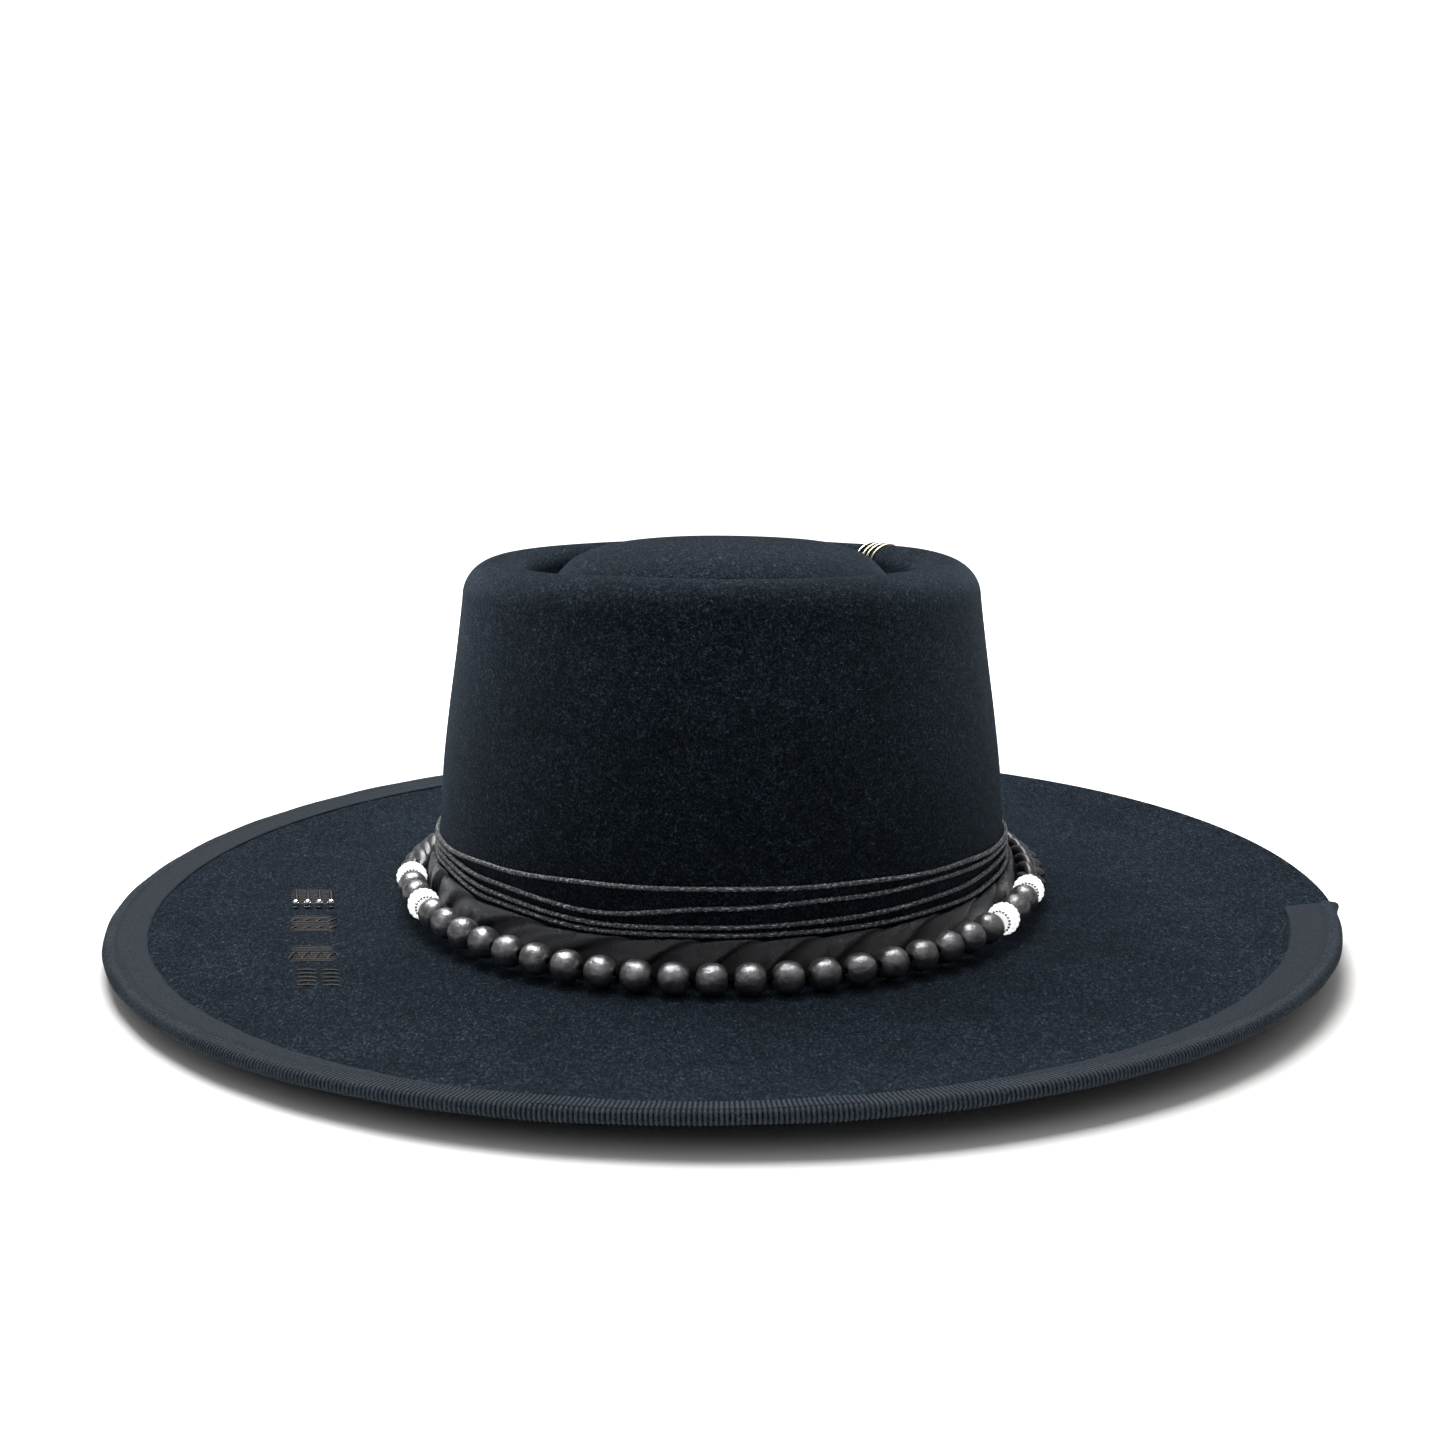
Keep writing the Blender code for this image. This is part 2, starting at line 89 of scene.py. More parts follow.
CORD_RADIUS = 0.0007
CORD_ANGLES = (0, 90, 180, 205, 225, 250, 270, 290, 315, 335)
CORD_HEIGHTS = {
    "waxed_cord_1": (24.9, 25.3, 25.9, 26.8, 28.0, 28.8, 28.9, 28.8, 28.0, 26.9),
    "waxed_cord_2": (23.1, 23.5, 24.1, 24.9, 23.6, 21.2, 23.8, 25.0, 25.5, 25.1),
    "waxed_cord_3": (21.3, 21.7, 22.3, 22.9, 20.6, 18.2, 18.7, 19.5, 20.9, 22.2),
    "waxed_cord_4": (19.4, 19.9, 20.5, 21.0, 18.4, 16.3, 16.7, 16.8, 17.2, 18.2),
}
TWIST_BOTTOM = 0.0046
TWIST_INNER = 0.0003
TWIST_THICKNESS = 0.0028

STRAND_HALF_WIDTH = 0.09775
STRAND_HALF_LENGTH = 0.1135
STRAND_EXPONENT = 2.08
STRAND_FRONT_HEIGHT = 0.0071
STRAND_SIDE_HEIGHT = 0.0120
STRAND_BACK_HEIGHT = 0.0079
SILVER_BEADS = ("bead_01", "bead_04", "bead_25", "bead_28")
DARK_RADIUS, DARK_HALF = 0.0044, 0.0043
SILVER_RADIUS, SILVER_HALF = 0.0047, 0.0033
BORE_RADIUS = 0.0010
STONE_RADIUS = 0.00092
GRAIN_RADIUS = 0.00048  # the beading on the silver beads' rims

LACE_GAP = 0.0058  # from the end beads' centres to the lace
LACE_SWING, LACE_WEAVE = 0.0024, 0.0012
LACE_HALF_WIDTH, LACE_HALF_THICKNESS = 0.0025, 0.0016
LACE_PITCH = 0.0320

FINE_THREAD = 0.00026  # radius
LINT_RADIUS = 0.00004
EMBROIDERY_SLANT = 0.245  # towards the crown, for each metre forwards

RIBBON_START = radians(86.25)
RIBBON_END = radians(348.75)
RIB_PITCH = 0.00115
RIB_DEPTH = 0.00042
RIBBON_THICK = 0.0005
RIBBON_UNDER = 0.0093  # how far the ribbon reaches in under the brim

# ---------------------------------------------------------------- stage


def make_camera():
    data = bpy.data.cameras.new("camera")
    data.lens = CAMERA_LENS
    data.sensor_width = 36.0
    data.clip_start = 0.01
    camera = bpy.data.objects.new("camera", data)
    camera.location = CAMERA_PLACE
    camera.rotation_euler = (pi / 2 - CAMERA_PITCH, 0.0, 0.0)
    bpy.context.scene.collection.objects.link(camera)
    bpy.context.scene.camera = camera


def area_light(name, place, target, size, energy, colour=(1.0, 1.0, 1.0)):
    data = bpy.data.lights.new(name, "AREA")
    data.shape = "RECTANGLE"
    data.size, data.size_y = size
    data.energy = energy
    data.color = colour
    light = bpy.data.objects.new(name, data)
    light.location = place
    light.rotation_euler = (Vector(target) - Vector(place)).to_track_quat("-Z", "Y").to_euler()
    bpy.context.scene.collection.objects.link(light)


def make_floor():
    """A white floor that brightens away from the hat, like a lit studio sweep."""
    mesh = bpy.data.meshes.new("floor")
    size = 6.0
    corners = [(-size, -size, 0), (size, -size, 0), (size, size, 0), (-size, size, 0)]
    mesh.from_pydata(corners, [], [(0, 1, 2, 3)])
    floor = bpy.data.objects.new("floor", mesh)
    floor.location.z = -FLOOR_DROP
    bpy.context.scene.collection.objects.link(floor)
    made = Finish("floor_white", (0.88, 0.87, 0.86), 0.9, Specular_IOR_Level=0.1)
    far = made.nodes.new("ShaderNodeVectorMath")
    far.operation = "LENGTH"
    made.links.new(made.place(), far.inputs[0])
    glow = made.ramp(made.math("MULTIPLY", far.outputs["Value"], 0.5), [(0.13, 0.0), (0.24, 1.0)])
    made.links.new(glow, made.shader.inputs["Emission Color"])
    made.shader.inputs["Emission Strength"].default_value = 1.0
    made.clear_from_behind()
    mesh.materials.append(made.material)


def make_surround():
    """A room that is bright above and dim towards the horizon; seen directly, it is white."""
    world = bpy.data.worlds.new("studio")
    bpy.context.scene.world = world
    world.use_nodes = True
    tree = world.node_tree
    sky = tree.nodes["Background"]
    sky.inputs["Color"].default_value = (1.0, 1.0, 1.0, 1.0)
    where = tree.nodes.new("ShaderNodeTexCoord")
    parts = tree.nodes.new("ShaderNodeSeparateXYZ")
    tree.links.new(where.outputs["Generated"], parts.inputs["Vector"])
    rise = tree.nodes.new("ShaderNodeMapRange")
    rise.inputs["From Min"].default_value = 0.15
    rise.inputs["To Min"].default_value = HORIZON_LIGHT
    rise.inputs["To Max"].default_value = ZENITH_LIGHT
    tree.links.new(parts.outputs["Z"], rise.inputs["Value"])
    seen = tree.nodes.new("ShaderNodeLightPath")
    strength = tree.nodes.new("ShaderNodeMix")
    strength.inputs["B"].default_value = 1.05
    tree.links.new(seen.outputs["Is Camera Ray"], strength.inputs["Factor"])
    tree.links.new(rise.outputs["Result"], strength.inputs["A"])
    tree.links.new(strength.outputs["Result"], sky.inputs["Strength"])


def make_lights():
    area_light("overhead", (-0.14, 0.34, 1.10), (0, 0.06, 0.0), (0.9, 1.0), 28.0)
    area_light("front_fill", (-0.9, -1.3, 0.9), (0, 0, 0.05), (0.5, 0.5), 0.8)
    bpy.context.scene.view_settings.view_transform = "Standard"


# ---------------------------------------------------------------- materials


class Finish:
    """A node material: a Principled shader with helpers that wire procedural detail into it."""

    def __init__(self, name, colour, roughness, metallic=0.0, **sockets):
        self.material = bpy.data.materials.new(name)
        self.material.use_nodes = True
        self.nodes = self.material.node_tree.nodes
        self.links = self.material.node_tree.links
        self.shader = self.nodes["Principled BSDF"]
        self.shader.inputs["Base Color"].default_value = (*colour, 1.0)
        self.shader.inputs["Roughness"].default_value = roughness
        self.shader.inputs["Metallic"].default_value = metallic
        for socket, value in sockets.items():
            self.shader.inputs[socket.replace("_", " ")].default_value = value

    def place(self, kind="Object"):
        return self.nodes.new("ShaderNodeTexCoord").outputs[kind]

    def stretched(self, source, scale=(1, 1, 1), turn=(0, 0, 0)):
        node = self.nodes.new("ShaderNodeMapping")
        node.inputs["Scale"].default_value = scale
        node.inputs["Rotation"].default_value = turn
        self.links.new(source, node.inputs["Vector"])
        return node.outputs["Vector"]

    def noise(self, source, scale, detail=2.0, roughness=0.5, distortion=0.0):
        node = self.nodes.new("ShaderNodeTexNoise")
        node.inputs["Scale"].default_value = scale
        node.inputs["Detail"].default_value = detail
        node.inputs["Roughness"].default_value = roughness
        node.inputs["Distortion"].default_value = distortion
        self.links.new(source, node.inputs["Vector"])
        return node.outputs["Fac"]

    def wave(self, source, scale, axis="X", distortion=0.0, detail=0.0):
        node = self.nodes.new("ShaderNodeTexWave")
        node.bands_direction = axis
        node.inputs["Scale"].default_value = scale
        node.inputs["Distortion"].default_value = distortion
        node.inputs["Detail"].default_value = detail
        self.links.new(source, node.inputs["Vector"])
        return node.outputs["Fac"]

    def ramp(self, source, stops):
        """A colour ramp; stops are (place, colour) with a colour of one or three numbers."""
        node = self.nodes.new("ShaderNodeValToRGB")
        elements = node.color_ramp.elements
        while len(elements) < len(stops):
            elements.new(0.5)
        for element, (place, colour) in zip(elements, stops):
            element.position = place
            shade = (colour,) * 3 if isinstance(colour, (int, float)) else colour
            element.color = (*shade, 1.0)
        self.links.new(source, node.inputs["Fac"])
        return node.outputs["Color"]

    def math(self, operation, first, second):
        node = self.nodes.new("ShaderNodeMath")
        node.operation = operation
        for socket, value in zip(node.inputs, (first, second)):
            if isinstance(value, (int, float)):
                socket.default_value = value
            else:
                self.links.new(value, socket)
        return node.outputs["Value"]

    def mix(self, factor, first, second, blend="MIX"):
        node = self.nodes.new("ShaderNodeMix")
        node.data_type = "RGBA"
        node.blend_type = blend
        for name, value in (("Factor", factor), ("A", first), ("B", second)):
            socket = next(s for s in node.inputs if s.name == name and s.enabled)
            if isinstance(value, (int, float)):
                socket.default_value = value
            elif isinstance(value, tuple):
                socket.default_value = (*value, 1.0)
            else:
                self.links.new(value, socket)
        return next(s for s in node.outputs if s.enabled)

    def clear_from_behind(self):
        """Makes the faces' back sides clear, so that a floor can be looked through from below."""
        clear = self.nodes.new("ShaderNodeBsdfTransparent")
        side = self.nodes.new("ShaderNodeNewGeometry")
        both = self.nodes.new("ShaderNodeMixShader")
        self.links.new(side.outputs["Backfacing"], both.inputs[0])
        self.links.new(self.shader.outputs["BSDF"], both.inputs[1])
        self.links.new(clear.outputs["BSDF"], both.inputs[2])
        self.links.new(both.outputs["Shader"], self.nodes["Material Output"].inputs["Surface"])

    def colour(self, source):
        self.links.new(source, self.shader.inputs["Base Color"])

    def rough(self, source):
        self.links.new(source, self.shader.inputs["Roughness"])

    def bump(self, height, distance, strength=1.0):
        """Adds relief; a second call adds to the first."""
        node = self.nodes.new("ShaderNodeBump")
        node.inputs["Distance"].default_value = distance
        node.inputs["Strength"].default_value = strength
        self.links.new(height, node.inputs["Height"])
        normal = self.shader.inputs["Normal"]
        if normal.is_linked:
            self.links.new(normal.links[0].from_socket, node.inputs["Normal"])
        self.links.new(node.outputs["Normal"], normal)


def felt_finish():
    made = Finish(
        "wool_felt",
        (0.005, 0.008, 0.012),
        0.95,
        Sheen_Weight=1.0,
        Sheen_Roughness=0.36,
        Sheen_Tint=(0.066, 0.088, 0.114, 1.0),
        Specular_IOR_Level=0.06,
    )
    place = made.place()
    lean = made.stretched(place, (1, 0.45, 1))
    nap = made.noise(lean, 1600, detail=4, roughness=0.70, distortion=1.0)
    tuft = made.noise(lean, 420, detail=3, roughness=0.6, distortion=0.6)
    cloud = made.noise(place, 38, detail=4, roughness=0.6)
    # The nap specks are the felt's fibre grain; their lightest colour is painted sheen on single fibres, since
    # the shader's own sheen is one even value.
    deep, middle, painted_sheen_tip = (0.0003, 0.0012, 0.0032), (0.0045, 0.0085, 0.0140), (0.044, 0.055, 0.068)
    stops = [(0.38, deep), (0.53, middle), (0.68, painted_sheen_tip)]
    speck = made.ramp(nap, stops)
    shade = made.ramp(cloud, [(0.3, 0.75), (0.7, 1.25)])
    tufted = made.mix(1.0, speck, made.ramp(tuft, [(0.3, 0.6), (0.7, 1.4)]), "MULTIPLY")
    made.colour(made.mix(1.0, tufted, shade, "MULTIPLY"))
    made.bump(nap, 0.0006, 0.8)
    made.bump(tuft, 0.0006, 0.35)
    return made.material


def grosgrain_finish():
    made = Finish(
        "grosgrain_ribbon",
        (0.02, 0.022, 0.028),
        0.75,
        Sheen_Weight=0.7,
        Sheen_Roughness=0.35,
        Sheen_Tint=(0.030, 0.036, 0.046, 1.0),
        Specular_IOR_Level=0.08,
    )
    lie = made.place("UV")
    split = made.nodes.new("ShaderNodeSeparateXYZ")
    made.links.new(lie, split.inputs["Vector"])
    along, ribbed = split.outputs["X"], split.outputs["Y"]
    ribs = made.math("ABSOLUTE", made.math("SINE", made.math("MULTIPLY", along, pi / RIB_PITCH), 0), 0)
    threads = made.wave(lie, 700, axis="Y", distortion=1.5, detail=2)
    fuzz = made.noise(made.place(), 1800, detail=3, roughness=0.7)
    tone = made.ramp(fuzz, [(0.35, (0.010, 0.013, 0.017)), (0.7, (0.030, 0.036, 0.046))])
    # Painted shade and light on the ribs: where the ribbed mask is set, the colour falls nearly to black in the
    # grooves between the ribs and rises to almost twice as bright on the rib tops.
    painted_rib_ramp = made.ramp(ribs, [(0.0, 0.02), (0.5, 0.8), (0.9, 1.9)])
    painted_rib_shading = made.mix(ribbed, (1.0, 1.0, 1.0), painted_rib_ramp)
    made.colour(made.mix(1.0, tone, painted_rib_shading, "MULTIPLY"))
    made.bump(threads, 0.00008, 0.4)
    made.bump(fuzz, 0.0002, 0.5)
    return made.material


def satin_finish():
    made = Finish(
        "twill_satin",
        (0.010, 0.011, 0.014),
        0.34,
        Sheen_Weight=0.2,
        Sheen_Roughness=0.3,
        Sheen_Tint=(0.08, 0.10, 0.13, 1.0),
        Specular_IOR_Level=1.0,
        Anisotropic=0.4,
    )
    lie = made.place("UV")
    twill = made.wave(made.stretched(lie, turn=(0, 0, radians(35))), 620, distortion=1.5, detail=2)
    thread = made.wave(made.stretched(lie, turn=(0, 0, radians(-50))), 760, distortion=1.2, detail=2)
    grain = made.math("MULTIPLY", twill, thread)
    cloud = made.noise(made.place(), 160, detail=3)
    # The brightest colour of the weave is painted glints on the threads; the darker colours are the satin's own
    # weave tone.
    gap, weave, painted_weave_glint = (0.0006, 0.0012, 0.0024), (0.010, 0.013, 0.018), (0.13, 0.15, 0.18)
    made.colour(made.ramp(grain, [(0.10, gap), (0.60, weave), (0.90, painted_weave_glint)]))
    made.rough(made.ramp(cloud, [(0.3, 0.22), (0.7, 0.38)]))
    made.bump(grain, 0.0003, 1.0)
    return made.material


def waxed_finish():
    made = Finish("waxed_cotton", (0.03, 0.031, 0.035), 0.42, Specular_IOR_Level=0.7)
    lie = made.place("UV")
    fibre = made.noise(made.stretched(lie, (950, 1900, 1)), 1.0, detail=3, roughness=0.7)
    blotch = made.noise(made.place(), 900, detail=3)
    # The brightest stop is painted glints on the fibres; the darker stops are the cord's own fibre tone.
    stops = [(0.36, (0.004, 0.006, 0.009)), (0.54, (0.040, 0.045, 0.052)), (0.63, (0.62, 0.64, 0.68))]
    made.colour(made.ramp(fibre, stops))
    made.rough(made.ramp(blotch, [(0.35, 0.28), (0.7, 0.6)]))
    made.bump(fibre, 0.00016, 0.8)
    return made.material


def braid_finish():
    made = Finish("leather_lace", (0.05, 0.048, 0.05), 0.4, Specular_IOR_Level=0.7)
    place = made.place()
    grain = made.noise(place, 1500, detail=4, roughness=0.6)
    wear = made.noise(place, 260, detail=3)
    made.colour(made.ramp(grain, [(0.3, (0.018, 0.019, 0.022)), (0.72, (0.070, 0.072, 0.078))]))
    made.rough(made.ramp(wear, [(0.3, 0.26), (0.7, 0.46)]))
    made.bump(grain, 0.0001, 0.45)
    return made.material


def sweatband_finish():
    made = Finish("sweatband_leather", (0.02, 0.017, 0.015), 0.5, Specular_IOR_Level=0.45)
    place = made.place()
    pores = made.noise(place, 1300, detail=4, roughness=0.65)
    creases = made.noise(made.stretched(place, (1, 1, 0.4)), 220, detail=3, distortion=1.0)
    made.colour(made.ramp(creases, [(0.3, (0.013, 0.011, 0.010)), (0.75, (0.038, 0.032, 0.028))]))
    made.rough(made.ramp(pores, [(0.3, 0.42), (0.7, 0.62)]))
    made.bump(pores, 0.00015, 0.5)
    made.bump(creases, 0.0003, 0.3)
    return made.material


def dark_bead_finish():
    made = Finish("polished_dark_bead", (0.2, 0.19, 0.2), 0.3, metallic=0.9)
    place = made.place()
    marks = made.noise(place, 700, detail=4, roughness=0.7)
    patch = made.noise(place, 300, detail=2)
    made.colour(made.ramp(patch, [(0.3, (0.19, 0.185, 0.192)), (0.72, (0.40, 0.39, 0.405))]))
    made.rough(made.ramp(marks, [(0.3, 0.24), (0.72, 0.46)]))
    made.bump(marks, 0.0003, 0.6)
    made.bump(patch, 0.0008, 0.35)
    return made.material


def metal_finish(name, colour, roughness):
    made = Finish(name, colour, roughness, metallic=1.0)
    scratches = made.noise(made.place(), 2200, detail=3)
    made.rough(made.ramp(scratches, [(0.3, roughness * 0.7), (0.75, roughness * 1.6)]))
    made.bump(scratches, 0.00004, 0.3)
    return made.material


def glowing_stone_finish():
    # The stone finish glows with white emission: painted light standing in for the stones' blown-out
    # highlights, though they are no lamp.
    made = Finish("glowing_clear_stone", (0.95, 0.96, 1.0), 0.2, metallic=0.0, Coat_Weight=1.0, Emission_Strength=0.8)
    made.shader.inputs["Emission Color"].default_value = (1.0, 1.0, 1.0, 1.0)
    sparkle = made.noise(made.place(), 2500, detail=1)
    made.colour(made.ramp(sparkle, [(0.3, (0.88, 0.90, 0.94)), (0.6, (1.0, 1.0, 1.0))]))
    made.bump(sparkle, 0.0001, 0.3)
    return made.material


def thread_finish(name, dark, light, roughness=0.6):
    made = Finish(name, dark, roughness, Specular_IOR_Level=0.3)
    fibre = made.noise(made.place(), 4200, detail=3, distortion=1.0)
    made.colour(made.ramp(fibre, [(0.35, dark), (0.72, light)]))
    made.bump(fibre, 0.0001, 0.6)
    return made.material


def plain_cord_finish():
    made = Finish("black_string", (0.004, 0.004, 0.004), 0.95, Specular_IOR_Level=0.05)
    twist = made.noise(made.place(), 2400, detail=3)
    made.colour(made.ramp(twist, [(0.3, (0.001, 0.001, 0.001)), (0.7, (0.006, 0.006, 0.007))]))
    made.bump(twist, 0.0001, 0.6)
    return made.material


def reed_finish():
    made = Finish("reed_plastic", (0.05, 0.05, 0.05), 0.5)
    drawn = made.noise(made.place(), 900, detail=2)
    made.rough(made.ramp(drawn, [(0.3, 0.4), (0.7, 0.6)]))
    made.bump(drawn, 0.0001, 0.3)
    return made.material


# ---------------------------------------------------------------- shapes


def oval(half_width, half_length, exponent, angle):
    """Points of superellipses."""
    c, s = np.cos(angle), np.sin(angle)
    x = half_width * np.sign(c) * np.abs(c) ** (2 / exponent)
    y = half_length * np.sign(s) * np.abs(s) ** (2 / exponent)
    return x, y


def between(u, first, last, a, b):
    """Goes evenly from a, where u is first, to b, where u is last."""
    return (last - u) / (last - first) * a + (u - first) / (last - first) * b


def smooth_line(points, spacing):
    """A smooth curve through points, as points at even distances."""
    p = np.asarray(points, float)
    p = np.vstack([2 * p[0] - p[1], p, 2 * p[-1] - p[-2]])
    gaps = np.sqrt(np.linalg.norm(np.diff(p, axis=0), axis=1))
    t = np.concatenate([[0.0], np.cumsum(gaps)])
    found = []
    for k in range(1, len(p) - 2):
        u = np.linspace(t[k], t[k + 1], 24, endpoint=False)[:, None]
        a1 = between(u, t[k - 1], t[k], p[k - 1], p[k])
        a2 = between(u, t[k], t[k + 1], p[k], p[k + 1])
        a3 = between(u, t[k + 1], t[k + 2], p[k + 1], p[k + 2])
        b1 = between(u, t[k - 1], t[k + 1], a1, a2)
        b2 = between(u, t[k], t[k + 2], a2, a3)
        found.append(between(u, t[k], t[k + 1], b1, b2))
    dense = np.vstack([*found, p[-2:-1]])
    run = np.concatenate([[0.0], np.cumsum(np.linalg.norm(np.diff(dense, axis=0), axis=1))])
    even = np.linspace(0, run[-1], max(4, int(run[-1] / spacing)))
    return np.stack([np.interp(even, run, dense[:, k]) for k in range(dense.shape[1])], 1)


def grid_mesh(name, points, finish, wrap_u=False, wrap_v=False, caps=False, uv=None):
    """A smooth mesh from a grid of points, with faces turned outwards where it closes."""
    u, v = points.shape[:2]
    index = np.arange(u * v).reshape(u, v)
    a = index if wrap_u else index[:-1]
    b = np.roll(index, -1, 0) if wrap_u else index[1:]
    if wrap_v:
        a2, b2 = np.roll(a, -1, 1), np.roll(b, -1, 1)
    else:
        a, a2, b, b2 = a[:, :-1], a[:, 1:], b[:, :-1], b[:, 1:]
    quads = np.stack([a, b, b2, a2], -1).reshape(-1, 4)
    flat = points.reshape(-1, 3)
    p = flat[quads]
    volume = np.einsum("ij,ij->i", p[:, 0], np.cross(p[:, 1], p[:, 2])).sum()
    volume += np.einsum("ij,ij->i", p[:, 0], np.cross(p[:, 2], p[:, 3])).sum()
    if volume < 0:
        quads = quads[:, ::-1]
    faces = quads.tolist()
    if caps:
        ends = [index[0].tolist(), index[-1].tolist()]
        ends = [ends[0][::-1], ends[1]] if volume < 0 else [ends[0], ends[1][::-1]]
        faces += ends
    mesh = bpy.data.meshes.new(name)
    mesh.from_pydata(flat.tolist(), [], faces)
    if uv is not None:
        layer = mesh.uv_layers.new(name="UVMap")
        loops = np.zeros(len(mesh.loops), np.int32)
        mesh.loops.foreach_get("vertex_index", loops)
        layer.data.foreach_set("uv", uv.reshape(-1, 2)[loops].astype(np.float32).ravel())
    mesh.shade_smooth()
    mesh.materials.append(finish)
    return mesh


def add_piece(name, mesh, body, slot, *replaced):
    made = bpy.data.objects.new(name, mesh)
    bpy.context.scene.collection.objects.link(made)
    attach(made, body)
    if replaced:
        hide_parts(*replaced)
    return made


def join_meshes(name, meshes, *finishes):
    """One mesh from several; each keeps the material of its own, which is one of the finishes."""
    vertices, faces, slots, start = [], [], [], 0
    for mesh in meshes:
        co = np.zeros(len(mesh.vertices) * 3, np.float32)
        mesh.vertices.foreach_get("co", co)
        vertices.append(co.reshape(-1, 3))
        faces += [[start + i for i in polygon.vertices] for polygon in mesh.polygons]
        slots += [finishes.index(mesh.materials[0])] * len(mesh.polygons)
        start += len(mesh.vertices)
    joined = bpy.data.meshes.new(name)
    joined.from_pydata(np.vstack(vertices).tolist(), [], faces)
    for finish in finishes:
        joined.materials.append(finish)
    joined.polygons.foreach_set("material_index", slots)
    joined.shade_smooth()
    for mesh in meshes:
        bpy.data.meshes.remove(mesh)
    return joined


def unit(vectors):
    return vectors / np.linalg.norm(vectors, axis=-1, keepdims=True)


def line_frames(points, closed):
    """Direction, outward and upward unit vectors along a line that runs round the hat."""
    if closed:
        along = np.roll(points, -1, 0) - np.roll(points, 1, 0)
    else:
        along = np.gradient(points, axis=0)
    along = unit(along)
    out = unit(np.cross(along, (0, 0, 1.0)))
    return along, out, np.cross(out, along)


def swept(points, out, up, section_out, section_up):
    """A grid of sections along a line; offsets have a row for each point, or one for all."""
    return (
        points[:, None, :]
        + out[:, None, :] * section_out[..., None]
        + up[:, None, :] * section_up[..., None]
    )


def round_tube(points, out, up, radius, sides):
    """A grid of round sections along a line; the radius is one for all, or one for each point."""
    around = np.arange(sides) / sides * tau
    size = np.reshape(radius, (-1, 1))
    return swept(points, out, up, size * np.cos(around), size * np.sin(around))


def run_lengths(points):
    """How far along a line each of its points is."""
    return np.concatenate([[0.0], np.cumsum(np.linalg.norm(np.diff(points, axis=0), axis=1))])


def ring_closed(points):
    """Repeats the first point at the end, so that a pattern runs on to the seam."""
    return np.vstack([points, points[:1]])


# ---------------------------------------------------------------- felt


def arc(centre, radius, first, last, steps):
    a = np.radians(np.linspace(first, last, steps + 1))
    return np.stack([centre[0] + radius * np.cos(a), centre[1] + radius * np.sin(a)], 1)


def crown_profile():
    """Half widths and heights from the brim's break up the wall, over the rim and to the dome's top."""
    fillet = arc((BRIM_START, FELT + BREAK_RADIUS), BREAK_RADIUS, 270, 180, 6)
    rim = arc((RIM_HALF_WIDTH, RIM_HEIGHT - RIM_OUTER_RADIUS), RIM_OUTER_RADIUS, 0, 84, 7)
    inner = arc((RIM_HALF_WIDTH, RIM_HEIGHT - RIM_INNER_RADIUS), RIM_INNER_RADIUS, 94, 165, 6)
    trough = arc((GUTTER_HALF_WIDTH, GUTTER_FLOOR + GUTTER_RADIUS), GUTTER_RADIUS, 345, 195, 8)
    return np.vstack([fillet, WALL, rim, inner, trough, DOME, [(0.0, DOME_HEIGHT)]])


def edge_rise(angle):
    twist = -0.55 * np.cos(2 * angle) - 0.52 * np.sin(2 * angle)
    tilt = 1.81 * np.cos(angle) + 0.90 * np.sin(angle)
    return (4.25 + twist + tilt) / 1000


def brim_top(share, angle):
    """Points on top of the brim: share is 0 at the crown's fillet and 1 at the felt's edge."""
    half_width = BRIM_START + BRIM_WIDTH * share
    start = BRIM_START + CROWN_STRETCH
    half_length = start + (EDGE_HALF_LENGTH - start) * share
    exponent = BASE_EXPONENT + (EDGE_EXPONENT - BASE_EXPONENT) * np.minimum(share, 1.0)
    x, y = oval(half_width, half_length, exponent, angle)
    curl = np.maximum(0.0, (share - FLAT_SHARE) / (1 - FLAT_SHARE)) ** RISE_POWER
    return np.stack([x, y, FELT + edge_rise(angle) * curl], -1)


def brim_point(share, height, angle):
    """Points at a height above the brim's top, measured square to it."""
    step = 0.01
    across = brim_top(share + step, angle) - brim_top(share - step, angle)
    along = brim_top(share, angle + step) - brim_top(share, angle - step)
    return brim_top(share, angle) + unit(np.cross(across, along)) * np.asarray(height)[..., None]


def felt_surface(around, spacing):
    """The outside of the felt from the brim's edge to the dome's top."""
    angle = (np.arange(around) + 0.5) * tau / around
    shares = np.linspace(1.0, 0.0, 64)[:-1]
    brim = brim_top(shares[:, None], angle[None, :])
    profile = smooth_line(crown_profile(), spacing)
    profile[:, 0] = np.maximum(profile[:, 0], 1e-5)
    half, height = profile[:, 0], profile[:, 1]
    foot = DOME[0][0]
    stretch = CROWN_STRETCH * np.minimum(1.0, half / foot)
    x, y = oval(half[:, None], (half + stretch)[:, None], BASE_EXPONENT, angle[None, :])
    z = np.broadcast_to(height[:, None], x.shape)
    return np.vstack([brim, np.stack([x, y, z], -1)])


def hand_shaping(points, normals):
    """Slight unevenness of hand-blocked felt, under half a millimetre."""
    x, y, z = points[..., 0], points[..., 1], points[..., 2]
    swell = np.sin(41 * x + 13 * z + 0.6) * np.sin(37 * y - 21 * z) + 0.6 * np.sin(83 * x - 61 * y + 47 * z)
    held = np.clip((z - 0.034) / 0.02, 0, 1)
    return points + normals * (swell * held * 0.00022)[..., None]


